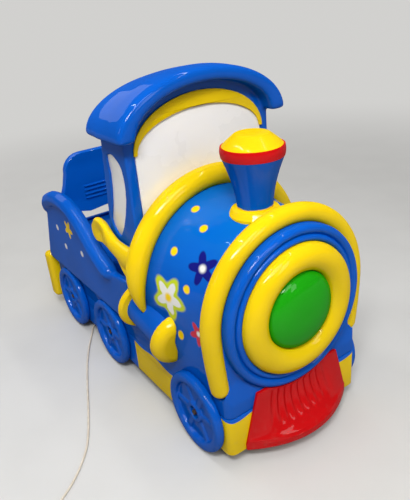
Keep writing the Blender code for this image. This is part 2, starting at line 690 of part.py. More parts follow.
def make_chimney():
    upright = Matrix.Translation((CHIMNEY_X, 0, 0))
    neck = AXIS_Z + boiler_radius(CHIMNEY_X) + CHIMNEY_FOOT_RISE
    band = neck + CHIMNEY_HEIGHT
    flare = CHIMNEY_MOUTH_RADIUS - CHIMNEY_NECK_RADIUS
    height = band - CLEAR - neck
    stack = [(0, band - CLEAR)]
    for step in range(8):
        rise = 1 - step / 7
        stack.append((CHIMNEY_NECK_RADIUS + flare * rise ** 1.7, neck + height * rise))
    front_radius = boiler_radius(CHIMNEY_X + CHIMNEY_FOOT_RADIUS)
    foot_edge = AXIS_Z + math.sqrt(front_radius ** 2 - CHIMNEY_FOOT_RADIUS ** 2)
    stack += [(CHIMNEY_FOOT_RADIUS - RIM_ROUND, neck - RIM_ROUND / 3),
              (CHIMNEY_FOOT_RADIUS, (neck + foot_edge) / 2), (CHIMNEY_FOOT_RADIUS, foot_edge - BOILER_WALL),
              (0, foot_edge - BOILER_WALL)]
    chimney = turned("chimney", stack, BLUE, upright, steps=ROUND - 4)
    cut(chimney, boiler_core())
    top = band + CHIMNEY_BAND_HEIGHT
    upper = CHIMNEY_MOUTH_RADIUS - CHIMNEY_BAND_BULGE
    turned("chimney_band", [(0, top), (upper, top), (CHIMNEY_MOUTH_RADIUS + CHIMNEY_BAND_BULGE * 0.6, band + CHIMNEY_BAND_HEIGHT * 0.7),
                            (CHIMNEY_MOUTH_RADIUS + CHIMNEY_BAND_BULGE, band + CHIMNEY_BAND_HEIGHT * 0.4),
                            (CHIMNEY_MOUTH_RADIUS, band), (0, band)], RED, upright, steps=ROUND - 4)
    crown = top + CLEAR + CHIMNEY_CAP_HEIGHT
    turned("chimney_cap", [(0, crown - 0.006), (CHIMNEY_CAP_TOP - 0.010, crown - 0.004), (CHIMNEY_CAP_TOP, crown),
                           (CHIMNEY_CAP_TOP + 0.008, crown - 0.003), (upper - 0.018, top + CHIMNEY_CAP_HEIGHT * 0.70),
                           (upper - 0.006, top + CHIMNEY_CAP_HEIGHT * 0.38), (upper - 0.001, top + CHIMNEY_CAP_HEIGHT * 0.12),
                           (upper, top + CLEAR), (0, top + CLEAR)],
           YELLOW, upright, steps=ROUND - 4)


def make_cylinders():
    rear, front = CYLINDER_REAR, CYLINDER_FRONT
    cap_back = front - CAP_LENGTH
    barrel = [(0, cap_back - CLEAR), (CYLINDER_RADIUS, cap_back - CLEAR), (CYLINDER_RADIUS, rear + FLANGE_WIDTH + 0.004),
              (FLANGE_RADIUS - 0.005, rear + FLANGE_WIDTH), (FLANGE_RADIUS, rear + FLANGE_WIDTH / 2), (FLANGE_RADIUS, rear),
              (0, rear)]
    cap = [(0, front)] + arc((CAP_RADIUS - CAP_LENGTH * 0.8, cap_back + CAP_LENGTH * 0.35),
                             (CAP_LENGTH * 0.8, CAP_LENGTH * 0.65), 80, 0, 6) + [(CAP_RADIUS, cap_back), (0, cap_back)]
    middle = (rear + front) / 2
    tilt = Matrix.Rotation(math.radians(CYLINDER_TILT), 4, "Y") @ ALONG_X @ Matrix.Translation((0, 0, -middle))
    for side, sign in sides():
        at = Matrix.Translation((middle, sign * (BODY_HALF_WIDTH - CYLINDER_OFFSET), CYLINDER_Z)) @ tilt
        cut(cut(turned("cylinder_" + side, barrel, BLUE, at, steps=ROUND - 4), boiler_core()), hoop_groove())
        cut(turned("cylinder_cap_" + side, cap, YELLOW, at, steps=ROUND - 4), boiler_core())


def shrunk(outline, gap):
    """An outline moved inwards by a gap; its points run clockwise."""
    inner = []
    for before, here, after in zip(outline[-1:] + outline[:-1], outline, outline[1:] + outline[:1]):
        along = (Vector(after) - Vector(before)).normalized()
        inner.append((here[0] + along.y * gap * 1.5, here[1] - along.x * gap * 1.5))
    return inner


def screen_outline(half, sill, spring, rise):
    return [(-half, sill), (half, sill)] + arc((0, spring), (half, rise), 0, 180, 21)


def make_cab():
    gap = CLEAR
    soffit_half = cab_half_width - CAB_WALL + CLEAR
    soffit_rise = ROOF_RISE - ROOF_THICK
    lower = [(BODY_HALF_WIDTH, SKIRT_TOP + gap), (BODY_HALF_WIDTH, CAB_SIDE_BOTTOM), (cab_half_width, CAB_SIDE_BOTTOM)]
    bulkhead = lower + [(cab_half_width, CAB_EAVE_Z)]
    bulkhead += arc((0, CAB_EAVE_Z), (soffit_half - gap, soffit_rise - gap), 0, 180, 25)
    bulkhead += [(-cab_half_width, CAB_EAVE_Z)] + [(-y, z) for y, z in lower[::-1]]
    opening = screen_outline(screen_half, SCREEN_SILL_Z, SCREEN_SPRING_Z, SCREEN_RISE)
    sheet("cab_bulkhead", [bulkhead, opening], bulkhead_back, BULKHEAD_FRONT, BLUE, ALONG_X)
    glass = screen_outline(screen_half - gap, SCREEN_SILL_Z + gap, SCREEN_SPRING_Z, SCREEN_RISE - gap)
    sheet("windscreen", [glass], BULKHEAD_FRONT - SCREEN_THICK - gap, BULKHEAD_FRONT - gap, WHITE, ALONG_X)
    outer = arc((0, SCREEN_SPRING_Z), (screen_half + TRIM_PROUD, SCREEN_RISE + TRIM_PROUD), 0, 180, 25)
    inner = arc((0, SCREEN_SPRING_Z), (screen_half - TRIM_PROUD, TRIM_RISE), 180, 0, 25)
    sheet("windscreen_trim", [outer + inner], BULKHEAD_FRONT + gap, BULKHEAD_FRONT + gap + TRIM_PROUD, YELLOW, ALONG_X)
    front = bulkhead_back - gap
    wall = [(front, CAB_EAVE_Z), (CAB_REAR_TOP, CAB_EAVE_Z), (CAB_REAR_BOTTOM, CAB_SIDE_BOTTOM), (front, CAB_SIDE_BOTTOM)]
    for side, sign in sides():
        low, high = sorted((-sign * cab_half_width, -sign * (cab_half_width - CAB_WALL)))
        sheet("cab_side_" + side, [wall, list(WINDOW_OUTLINE)], low, high, BLUE, ACROSS_Y)
        sheet("side_window_" + side, [shrunk(WINDOW_OUTLINE, gap)], low + CAB_WALL / 4, high - CAB_WALL / 4, WHITE, ACROSS_Y)
    bottom = CAB_EAVE_Z + gap
    front_edge = BULKHEAD_FRONT + ROOF_OVERHANG
    loops = []
    for share, narrower, lower in ROOF_SECTIONS:
        x = ROOF_REAR + (front_edge - ROOF_REAR) * share
        section = arc((0, bottom), (roof_half_width - narrower, ROOF_RISE - lower), 0, 180, 27)
        section += arc((0, bottom), (soffit_half, soffit_rise), 180, 0, 27)
        loops.append([(x, y, z) for y, z in section])
    loft("roof", loops, BLUE)
    for side, sign in sides():
        y = sign * (cab_half_width + CLEAR + SILL_TUBE)
        front_end = BULKHEAD_FRONT - CLEAR
        first = SILL_PATH[0]
        path = [(front_end, y, first[1] - 0.010, 0.85), (front_end - 0.010, y, first[1] - 0.010, 0.87)]
        path += [(x, y + sign * SILL_TUBE * (share - 1), z, share) for x, z, share in SILL_PATH]
        tube("cab_sill_" + side, path, SILL_TUBE, YELLOW, (False, True))


def dash_face():
    """Middle of the dashboard's sloping face and its normal."""
    rear_bottom = Vector((bulkhead_back - DASH_DEPTH, 0, CAB_SIDE_BOTTOM + DASH_LIP))
    rear_top = Vector((bulkhead_back - DASH_LEDGE, 0, DASH_TOP))
    along = (rear_top - rear_bottom).normalized()
    return (rear_bottom + rear_top) / 2, Vector((-along.z, 0, along.x))


def make_controls():
    front = bulkhead_back - CLEAR
    profile = [(front, CAB_SIDE_BOTTOM), (front, DASH_TOP), (bulkhead_back - DASH_LEDGE, DASH_TOP),
               (bulkhead_back - DASH_DEPTH, CAB_SIDE_BOTTOM + DASH_LIP), (bulkhead_back - DASH_DEPTH, CAB_SIDE_BOTTOM)]
    half = cab_half_width - CAB_WALL - CLEAR
    dash = to_mesh(sheet("dashboard", [profile], -half, half, BLUE, ACROSS_Y))
    middle, normal = dash_face()
    turn = Vector((0, 0, 1)).rotation_difference(normal).to_matrix().to_4x4()
    seat = Matrix.Translation(middle + normal * CLEAR) @ turn
    hub_top = COLUMN_LENGTH + STEERING_TUBE
    wheel = turned("steering_wheel", [(0, hub_top), (STEERING_HUB, hub_top), (STEERING_HUB, COLUMN_LENGTH - STEERING_TUBE),
                                      (COLUMN_RADIUS, COLUMN_LENGTH - STEERING_TUBE), (COLUMN_RADIUS, 0), (0, 0)],
                   YELLOW, seat, steps=SMALL_ROUND)
    rim_section = [(STEEring_radius + STEERING_TUBE * math.cos(math.radians(a)),
                    COLUMN_LENGTH + STEERING_TUBE * math.sin(math.radians(a))) for a in range(180, -180, -45)]
    join(wheel, turned("steering rim", rim_section, None, seat, closed=True, steps=WHEEL_ROUND))
    for spoke in range(3):
        angle = math.radians(180 + 120 * spoke)
        out = Vector((math.cos(angle), math.sin(angle), 0))
        up = Vector((0, 0, COLUMN_LENGTH))
        start = seat @ (out * (STEERING_HUB - STEERING_TUBE) + up)
        join(wheel, cylinder("spoke %d" % spoke, STEERING_TUBE * 0.7, start, seat @ (out * STEEring_radius + up), sides=8))
    spot = Vector((0, BUTTON_INSET - half, 0)) + middle
    button = [(0, BUTTON_HEIGHT), (BUTTON_RADIUS * 0.8, BUTTON_HEIGHT), (BUTTON_RADIUS, BUTTON_HEIGHT * 0.7),
              (BUTTON_RADIUS, -BUTTON_DEPTH), (0, -BUTTON_DEPTH)]
    turned("start_button", button, GREEN, Matrix.Translation(spot) @ turn, steps=SMALL_ROUND)
    depth = BUTTON_DEPTH + BUTTON_TRAVEL + CLEAR
    cut(dash, cylinder("button hole", BUTTON_RADIUS + RUNNING, spot - normal * depth, spot + normal * BUTTON_HEIGHT))


def make_tub():
    bottom = SKIRT_TOP + CLEAR
    front = bulkhead_back - CLEAR
    side = BODY_HALF_WIDTH - CLEAR
    tub = box("seat_tub", (SKIRT_REAR, -side, bottom), (front, side, TUB_TOP), BLUE)
    floor = bottom + TUB_FLOOR
    inside = side - TUB_WALL
    cut(tub, box("tub inside", (SKIRT_REAR + TUB_WALL, -inside, floor), (front - TUB_WALL, inside, TUB_TOP + TUB_WALL)))
    lean = BACK_PANEL_LEAN * (SEAT_TOP - TUB_TOP) / (BACK_PANEL_TOP - TUB_TOP)
    rear = SKIRT_REAR + BACK_PANEL_THICK + lean + 2 * CLEAR
    top = SEAT_TOP
    under = SEAT_TOP - SEAT_THICK
    bench = [(rear, top), (rear, under), (SEAT_FRONT - SEAT_THICK, under), (SEAT_FRONT - SEAT_THICK, floor + CLEAR),
             (SEAT_FRONT, floor + CLEAR)] + arc((SEAT_FRONT - SEAT_THICK, top - SEAT_THICK), SEAT_THICK, 0, 90, 6)
    sheet("seat", [bench], -(inside - CLEAR), inside - CLEAR, BLUE, ACROSS_Y)
    rim_inside = BODY_HALF_WIDTH + RIM_OUTSET - RIM_TUBE - 2 * CLEAR
    start = TUB_TOP - TUB_WALL
    panel = [(SKIRT_REAR + 0.002, start), (SKIRT_REAR + BACK_PANEL_THICK - 0.002, start),
             (SKIRT_REAR + BACK_PANEL_THICK - 0.002, TUB_TOP), (SKIRT_REAR + BACK_PANEL_LEAN + BACK_PANEL_THICK, BACK_PANEL_TOP),
             (SKIRT_REAR + BACK_PANEL_LEAN, BACK_PANEL_TOP), (SKIRT_REAR + 0.002, TUB_TOP)]
    join(tub, to_mesh(sheet("tender back", [panel], -rim_inside, rim_inside, None, ACROSS_Y)))
    inset = backrest_half - BACKREST_CORNER
    shoulder = BACKREST_TOP - BACKREST_CORNER
    wing_top = RIM_PATH[3][1] - RIM_TUBE / 2
    flare = rim_inside - backrest_half
    half = [(rim_inside, wing_top - BACKREST_WING), (rim_inside, wing_top), (backrest_half + flare * 0.72, wing_top + flare / 2),
            (backrest_half + flare * 0.36, wing_top + flare * 1.4)]
    half += arc((inset, shoulder), BACKREST_CORNER, 0, 90, 7)
    low = [(-inset, BACKREST_BOTTOM), (0, BACKREST_BOTTOM + 0.016), (inset, BACKREST_BOTTOM)]
    outline = low + half + [(-y, z) for y, z in half[::-1]]
    sheet("backrest", [outline], BACKREST_X, BACKREST_X + BACKREST_THICK, BLUE, ALONG_X)


def make_tender_sides():
    on_bumper = BUMPER_TOP + CLEAR
    outline = [(SKIRT_REAR + CLEAR, TENDER_BOTTOM), (SKIRT_REAR + CLEAR, on_bumper), (SKIRT_REAR - 0.012, on_bumper)]
    outline += list(RIM_PATH) + [(TENDER_FRONT, WAIST_TOP), (TENDER_FRONT, TENDER_BOTTOM)]
    for side, sign in sides():
        face = BODY_HALF_WIDTH + CLEAR
        low, high = sorted((-sign * face, -sign * (face + TENDER_THICK)))
        panel = to_mesh(sheet("tender_side_" + side, [outline], low, high, BLUE, ACROSS_Y))
        y = sign * (BODY_HALF_WIDTH + RIM_OUTSET)
        path = [(x, y, z, min(1.0, 0.6 + 0.25 * i)) for i, (x, z) in enumerate(RIM_PATH)]
        rim = tube("tender rim " + side, path, RIM_TUBE, None, (True, True))
        join(panel, to_mesh(rim))


def make_bumper():
    bumper = box("rear_bumper", (BUMPER_REAR, -bumper_half_width, BUMPER_BOTTOM),
                 (SKIRT_REAR - CLEAR, bumper_half_width, BUMPER_TOP), YELLOW)
    rounded_edges(bumper, BUMPER_ROUND, 3)


def crank_centre():
    """Crank axis, so that the rod hangs plumb under the lift pin at rest."""
    return LIFT_PIN_X - LIFT_SET_BACK - CRANK_THROW * math.cos(math.radians(CRANK_REST))


def make_base():
    frame = box("base_frame", (BASE_REAR, -BASE_HALF_WIDTH, FOOT_HEIGHT), (BASE_FRONT, BASE_HALF_WIDTH, base_top), DARK_STEEL)
    for side, sign in sides():
        low, high = sorted((sign * STAND_Y, sign * (STAND_Y + STAND_THICK)))
        join(frame, box("stand " + side, (PIVOT_X - STAND_HALF_LENGTH, low, FOOT_HEIGHT + BASE_THICK / 2),
                        (PIVOT_X + STAND_HALF_LENGTH, high, PIVOT_Z + STAND_RISE)))
    reach = STAND_Y + 2 * STAND_THICK
    cut(frame, cylinder("pivot bore", PIVOT_RADIUS + RUNNING, (PIVOT_X, -reach, PIVOT_Z), (PIVOT_X, reach, PIVOT_Z)))
    end = STAND_Y + STAND_THICK + PIVOT_RADIUS
    cylinder("pivot_shaft", PIVOT_RADIUS, (PIVOT_X, -end, PIVOT_Z), (PIVOT_X, end, PIVOT_Z), STEEL)
    for label, x in (("front", BASE_FRONT - FOOT_INSET), ("rear", BASE_REAR + FOOT_INSET)):
        for side, sign in sides():
            y = sign * (BASE_HALF_WIDTH - FOOT_INSET)
            cylinder("foot_" + label + "_" + side, FOOT_RADIUS, (x, y, 0), (x, y, FOOT_HEIGHT - CLEAR), RUBBER)
    box("control_box", (BOX_X[0], BOX_Y[0], base_top + CLEAR), (BOX_X[1], BOX_Y[1], base_top + BOX_HEIGHT), GREY)
    gland_z = FOOT_HEIGHT + BASE_THICK / 2
    cylinder("cord_gland", GLAND_RADIUS, (GLAND_X, -BASE_HALF_WIDTH - CLEAR, gland_z),
             (GLAND_X, -BASE_HALF_WIDTH - GLAND_LENGTH, gland_z), RUBBER)


def make_pivot_bracket():
    top = SKIRT_TOP
    low_x, high_x = PIVOT_X - EAR_HALF_LENGTH, PIVOT_X + EAR_HALF_LENGTH
    half = EAR_Y + EAR_THICK
    bracket = box("pivot_bracket", (low_x, -half, top - BRACKET_PLATE), (high_x, half, top), DARK_STEEL)
    for side, sign in sides():
        low, high = sorted((sign * EAR_Y, sign * half))
        join(bracket, box("ear " + side, (low_x, low, PIVOT_Z - EAR_DROP), (high_x, high, top - BRACKET_PLATE / 2)))
    reach = half + EAR_THICK
    cut(bracket, cylinder("ear bore", PIVOT_RADIUS + RUNNING, (PIVOT_X, -reach, PIVOT_Z), (PIVOT_X, reach, PIVOT_Z)))


def make_drive():
    x, z = crank_centre(), CRANK_Z
    motor = box("gear_motor", (x - GEARBOX_LENGTH / 2, GEARBOX_Y, base_top + CLEAR),
                (x + GEARBOX_LENGTH / 2, GEARBOX_Y + GEARBOX_WIDTH, GEARBOX_TOP), GREY)
    back = GEARBOX_Y + GEARBOX_WIDTH
    join(motor, cylinder("motor can", MOTOR_RADIUS, (x, back - MOTOR_RADIUS, z), (x, back + MOTOR_LENGTH, z), sides=24))
    disc_back = GEARBOX_Y - CLEAR
    disc_front = disc_back - CRANK_THICK
    crank = cylinder("crank", CRANK_RADIUS, (x, disc_back, z), (x, disc_front, z), STEEL, sides=24)
    angle = math.radians(CRANK_REST)
    pin_x, pin_z = x + CRANK_THROW * math.cos(angle), z + CRANK_THROW * math.sin(angle)
    join(crank, cylinder("crank pin", CRANK_PIN_RADIUS, (pin_x, disc_back - CRANK_THICK / 2, pin_z),
                         (pin_x, disc_front - CRANK_PIN_LENGTH, pin_z)))
    rod_back = disc_front - ROD_SIDE_GAP
    rod_front = rod_back - ROD_THICK
    lower = CRANK_PIN_RADIUS + RUNNING + EYE_WALL
    upper = LIFT_PIN_RADIUS + LIFT_PLAY + EYE_WALL
    neck = EYE_WALL
    low_neck = math.degrees(math.acos(neck / lower))
    top_neck = math.degrees(math.acos(neck / upper))
    outline = arc((pin_x, LIFT_PIN_Z), upper, -top_neck, 180 + top_neck, 17)
    outline += arc((pin_x, pin_z), lower, 180 - low_neck, 360 + low_neck, 17)
    rod = to_mesh(sheet("connecting_rod", [outline], -rod_back, -rod_front, DARK_STEEL, ACROSS_Y))
    for label, radius, height in (("lower", CRANK_PIN_RADIUS + RUNNING, pin_z), ("upper", LIFT_PIN_RADIUS + LIFT_PLAY, LIFT_PIN_Z)):
        cut(rod, cylinder(label + " eye", radius, (pin_x, rod_back + ROD_THICK, height), (pin_x, rod_front - ROD_THICK, height)))
    plate_back = rod_front - ROD_SIDE_GAP
    plate_front = plate_back - ROD_THICK
    half = LIFT_PIN_RADIUS + EYE_WALL
    bracket = box("lift_bracket", (LIFT_PIN_X - half, plate_front, LIFT_PIN_Z - half), (LIFT_PIN_X + half, plate_back, SKIRT_TOP), DARK_STEEL)
    join(bracket, cylinder("lift pin", LIFT_PIN_RADIUS, (LIFT_PIN_X, plate_back - ROD_THICK / 2, LIFT_PIN_Z),
                           (LIFT_PIN_X, plate_back + LIFT_PIN_LENGTH, LIFT_PIN_Z)))


def smooth_through(points, step):
    """Points a step apart on a smooth curve through the given ones."""
    padded = [2 * points[0] - points[1]] + points + [2 * points[-1] - points[-2]]
    dense = []
    for before, start, end, after in zip(padded, padded[1:], padded[2:], padded[3:]):
        for i in range(40):
            t = i / 40
            dense.append(0.5 * (2 * start + (end - before) * t + (2 * before - 5 * start + 4 * end - after) * t ** 2
                                + (3 * start - before - 3 * end + after) * t ** 3))
    dense.append(points[-1])
    total = path_length(dense)
    count = round(total / step)
    result, walked, target = [dense[0]], 0.0, total / count
    for start, end in zip(dense, dense[1:]):
        walked += (end - start).length
        if walked >= target * len(result) and len(result) < count:
            result.append(end)
    return result + [dense[-1]]


def path_length(points):
    return sum((b - a).length for a, b in zip(points, points[1:]))


def coil_path(start, heading):
    """Two layers of turns: in along the floor, up in half a turn, out again on top, then a tail for the plug."""
    outer = COIL_INNER + COIL_TURNS * COIL_PITCH
    along = Vector((heading.x, heading.y, 0)).normalized()
    to_centre = Vector((along.y, -along.x, 0))
    first = start + along * 2 * CORD_RADIUS
    centre = first + to_centre * outer
    def at(angle, radius, height):
        out = -to_centre * math.cos(angle) + along * math.sin(angle)
        spot = centre + out * radius
        return Vector((spot.x, spot.y, height))
    low, high = first.z, first.z + COIL_PITCH
    points = [start, start + along * CORD_RADIUS]
    around = LOOP_POINTS * COIL_TURNS
    half = LOOP_POINTS // 2
    turn = 2 * math.pi / LOOP_POINTS
    for i in range(around):
        points.append(at(turn * i, outer - COIL_PITCH * i / LOOP_POINTS, low))
    for i in range(half):
        share = i / half
        lift = (1 - math.cos(math.pi * share)) / 2
        points.append(at(turn * (around + i), COIL_INNER - COIL_DIP * math.sin(math.pi * share), low + (high - low) * lift))
    for i in range(around - half + 1):
        points.append(at(turn * (around + half + i), COIL_INNER + COIL_PITCH * i / LOOP_POINTS, high))
    last = points[-1]
    leave = (points[-1] - points[-2]).normalized()
    plug_z = PLUG_RADIUS + FLOOR_GAP
    for share in (0.2, 0.4, 0.6, 0.8, 0.86, 1.0):
        rise = min(1.0, max(0.0, (share - 0.15) / 0.7))
        rise = rise * rise * (3 - 2 * rise)
        points.append(Vector((*(last + leave * TAIL_LENGTH * share).xy, high + (plug_z - high) * rise)))
    return points, leave


def least_gap(points, diameter):
    """Smallest gap between stretches of a tube that aren't next to each other along it."""
    gap = 1.0
    reach = 6 * diameter
    walked = [0.0]
    for a, b in zip(points, points[1:]):
        walked.append(walked[-1] + (b - a).length)
    for i, a in enumerate(points):
        for j in range(i + 1, len(points)):
            if walked[j] - walked[i] > reach:
                gap = min(gap, (points[j] - a).length - diameter)
    return gap


def make_cord():
    exit_point = Vector((GLAND_X, -BASE_HALF_WIDTH - GLAND_LENGTH - CLEAR, FOOT_HEIGHT + BASE_THICK / 2))
    run = smooth_through([exit_point] + [Vector(point) for point in CORD_ROUTE], CORD_STEP)
    tube("cord_run", run, CORD_RADIUS, CREAM)
    heading = (run[-1] - run[-2]).normalized()
    coil, leave = coil_path(run[-1] + heading * CLEAR, heading)
    tube("cord_coil", coil, CORD_RADIUS, CREAM, resolution=1)
    print("cord length %.3f m" % (path_length(run) + path_length(coil)))
    print("least gap of the coil to itself %.2f mm" % (1000 * least_gap(coil, 2 * CORD_RADIUS)))
    turn = Vector((0, 0, 1)).rotation_difference(leave).to_matrix().to_4x4()
    at = Matrix.Translation(coil[-1] + leave * CLEAR) @ turn
    full = PLUG_BOOT + PLUG_LENGTH
    plug = turned("plug", [(0, full), (PLUG_RADIUS * 0.9, full), (PLUG_RADIUS, full - 0.004), (PLUG_RADIUS, PLUG_BOOT + 0.010),
                           (PLUG_RADIUS * 0.6, PLUG_BOOT), (CORD_RADIUS * 1.5, 0), (0, 0)], CREAM, at, steps=SMALL_ROUND)
    for sign in (1, -1):
        foot = Vector((leave.y, -leave.x, 0)) * sign * PIN_SPACING / 2 + at.translation
        join(plug, cylinder("plug pin %d" % sign, PIN_RADIUS, foot + leave * (full - PIN_LENGTH / 2), foot + leave * (full + PIN_LENGTH), sides=10))


make_skirt()
make_wheels()
make_boiler()
make_smokebox()
make_hoops()
make_cow_catcher()
make_chimney()
make_cylinders()
make_cab()
make_controls()
make_tub()
make_tender_sides()
make_bumper()
make_base()
make_pivot_bracket()
make_drive()
make_cord()
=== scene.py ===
# %% [markdown]
# # A children's locomotive ride
# The ride is a set of glossy moulded shells on a steel base that rocks them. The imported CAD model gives
# every piece its place and its motion, and this lesson dresses it: each cell makes one piece or one finish
# and hands it to the body that it moves with.

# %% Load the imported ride
import json
import math

import bpy
from mathutils import Matrix, Vector

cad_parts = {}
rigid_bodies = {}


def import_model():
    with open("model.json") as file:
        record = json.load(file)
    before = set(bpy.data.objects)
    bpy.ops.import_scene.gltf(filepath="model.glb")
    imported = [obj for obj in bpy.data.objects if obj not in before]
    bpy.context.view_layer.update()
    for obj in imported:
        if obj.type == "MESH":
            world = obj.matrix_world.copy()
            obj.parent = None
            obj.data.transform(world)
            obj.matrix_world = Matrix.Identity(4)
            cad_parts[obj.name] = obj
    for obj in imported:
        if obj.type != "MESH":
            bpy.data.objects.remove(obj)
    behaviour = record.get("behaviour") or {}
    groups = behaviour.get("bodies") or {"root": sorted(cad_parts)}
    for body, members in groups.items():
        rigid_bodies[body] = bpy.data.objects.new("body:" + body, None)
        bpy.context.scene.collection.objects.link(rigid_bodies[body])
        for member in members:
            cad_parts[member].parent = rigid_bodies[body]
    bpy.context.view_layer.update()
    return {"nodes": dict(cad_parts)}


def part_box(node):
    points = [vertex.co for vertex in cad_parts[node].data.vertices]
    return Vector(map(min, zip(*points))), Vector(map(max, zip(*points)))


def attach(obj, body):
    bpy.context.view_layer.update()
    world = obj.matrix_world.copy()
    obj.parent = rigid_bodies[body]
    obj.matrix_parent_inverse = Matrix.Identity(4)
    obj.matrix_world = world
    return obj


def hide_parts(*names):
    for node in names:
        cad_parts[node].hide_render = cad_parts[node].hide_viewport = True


for leftover in list(bpy.data.objects):
    bpy.data.objects.remove(leftover)
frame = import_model()
bpy.context.scene.view_settings.view_transform = "Standard"

# %% [markdown]
# ## Camera
# The photograph was taken by hand from the right of the nose and looks down on it, with the camera tipped a
# few degrees. A camera that tracks an empty would be quick, but it can't be tipped, so its three axes are
# worked out from yaw, pitch and roll.

# %% Camera
YAW, PITCH, ROLL = (math.radians(angle) for angle in (147.291, 25.437, -5.406))
CAMERA_SPOT = Vector((1.600, -0.915, 1.291))
LENS_LENGTH = 39.46
forward = Vector((math.cos(YAW) * math.cos(PITCH), math.sin(YAW) * math.cos(PITCH), -math.sin(PITCH)))
level = forward.cross(Vector((0, 0, 1))).normalized()
above = level.cross(forward)
across = level * math.cos(ROLL) + above * math.sin(ROLL)
upward = above * math.cos(ROLL) - level * math.sin(ROLL)
bpy.ops.object.camera_add()
camera = bpy.context.object
camera.data.lens = LENS_LENGTH
camera_axes = Matrix((across, upward, -forward)).transposed().to_4x4()
camera.matrix_world = Matrix.Translation(CAMERA_SPOT) @ camera_axes
bpy.context.scene.camera = camera
print("camera", tuple(CAMERA_SPOT), "lens", camera.data.lens)

# %% [markdown]
# ## Node helpers
# A finish is a small tree of nodes. Each helper adds one node or a few, so that a recipe further down reads
# like a sentence: noise here, a ramp on it, and a blend of two colours by that ramp.


# %% Node helpers
def plug_in(tree, socket, value):
    if isinstance(value, bpy.types.NodeSocket):
        tree.links.new(value, socket)
    else:
        socket.default_value = value


def maths(tree, operation, *values):
    made = tree.nodes.new("ShaderNodeMath")
    made.operation = operation
    for socket, value in zip(made.inputs, values):
        plug_in(tree, socket, value)
    return made.outputs[0]


def hypotenuse(tree, side, rise):
    squares = maths(tree, "ADD", maths(tree, "MULTIPLY", side, side), maths(tree, "MULTIPLY", rise, rise))
    return maths(tree, "SQRT", squares)


def noise(tree, where, scale, detail=3.0):
    made = tree.nodes.new("ShaderNodeTexNoise")
    plug_in(tree, made.inputs["Vector"], where)
    made.inputs["Scale"].default_value = scale
    made.inputs["Detail"].default_value = detail
    return made.outputs[0]


def ramp(tree, value, start, end, low=0.0, high=1.0):
    made = tree.nodes.new("ShaderNodeMapRange")
    made.interpolation_type = "SMOOTHSTEP"
    for socket, entry in zip(made.inputs, (value, start, end, low, high)):
        plug_in(tree, socket, entry)
    return made.outputs[0]


def blend(tree, share, first, second):
    made = tree.nodes.new("ShaderNodeMix")
    made.data_type = "RGBA"
    for index, value in ((0, share), (6, first), (7, second)):
        plug_in(tree, made.inputs[index], value)
    return made.outputs[2]


def bump(tree, shader, height, strength, distance):
    """Bend the shader's normal by a height. The distance is in metres."""
    made = tree.nodes.new("ShaderNodeBump")
    made.inputs["Strength"].default_value = strength
    made.inputs["Distance"].default_value = distance
    plug_in(tree, made.inputs["Height"], height)
    plug_in(tree, shader.inputs["Normal"], made.outputs[0])
    return made.outputs[0]


def new_finish(name):
    """A material, its tree, its shader, Object coordinates and their three parts."""
    material = bpy.data.materials.new(name)
    material.use_nodes = True
    tree = material.node_tree
    where = tree.nodes.new("ShaderNodeTexCoord").outputs["Object"]
    parts = tree.nodes.new("ShaderNodeSeparateXYZ")
    plug_in(tree, parts.inputs[0], where)
    return material, tree, tree.nodes["Principled BSDF"], where, parts.outputs


print("node helpers ready")

# %% [markdown]
# ## Gelcoat
# The shells are glass fibre with a pigmented gelcoat: deep colour, a hard gloss with slight ripples from
# the mould, and dust low down. The gloss is a clear coat alone: a shine in the base as well would veil the
# sides with the pale floor. One recipe makes every colour, and takes a paint function for the pieces with a
# second colour.


# %% Gelcoat recipe
BLUE = (0.001, 0.104, 0.560, 1.0)
YELLOW = (0.930, 0.640, 0.004, 1.0)
RED = (0.640, 0.003, 0.005, 1.0)
GREEN = (0.010, 0.360, 0.004, 1.0)
DUST = (0.230, 0.190, 0.150, 1.0)
PATCH_SCALE, PATCH_SHADE, SPECK_SCALE, WEAR_SCALE = 2.6, 0.84, 46.0, 8.0
DUST_TOP, DUST_FOOT, DUST_SHARE = 0.20, 0.03, 0.10
COAT_WEIGHT, COAT_IOR, COAT_ROUGHNESS = 0.15, 2.0, 0.012
RIPPLE_SCALE, RIPPLE_STRENGTH, RIPPLE_HEIGHT = 9.0, 0.05, 0.004


def gelcoat(name, colour, paint=None, gloss=0.10):
    material, tree, shader, where, parts = new_finish(name)
    patches = ramp(tree, noise(tree, where, PATCH_SCALE, 4.0), 0.34, 0.66)
    darker = (*(channel * PATCH_SHADE for channel in colour[:3]), 1.0)
    base = blend(tree, patches, colour, darker)
    if paint is not None:
        base = paint(tree, where, parts, base)
    low_down = ramp(tree, parts[2], DUST_TOP, DUST_FOOT)
    specks = ramp(tree, noise(tree, where, SPECK_SCALE, 6.0), 0.50, 0.74)
    dust = maths(tree, "MULTIPLY", maths(tree, "MULTIPLY", low_down, specks), DUST_SHARE)
    base = blend(tree, dust, base, DUST)
    plug_in(tree, shader.inputs["Base Color"], base)
    rough = ramp(tree, noise(tree, where, WEAR_SCALE, 6.0), 0.32, 0.70, gloss * 0.7, gloss * 1.7)
    plug_in(tree, shader.inputs["Roughness"], rough)
    shader.inputs["Specular IOR Level"].default_value = 0.0
    shader.inputs["Coat Weight"].default_value = COAT_WEIGHT
    shader.inputs["Coat IOR"].default_value = COAT_IOR
    shader.inputs["Coat Roughness"].default_value = COAT_ROUGHNESS
    ripples = bump(tree, shader, noise(tree, where, RIPPLE_SCALE, 2.0), RIPPLE_STRENGTH, RIPPLE_HEIGHT)
    plug_in(tree, shader.inputs["Coat Normal"], ripples)
    return material


blue_gelcoat = gelcoat("blue_gelcoat", BLUE)
yellow_gelcoat = gelcoat("yellow_gelcoat", YELLOW)
red_gelcoat = gelcoat("red_gelcoat", RED)
green_lens = gelcoat("green_lens", GREEN, gloss=0.09)
print("four plain gelcoats ready")

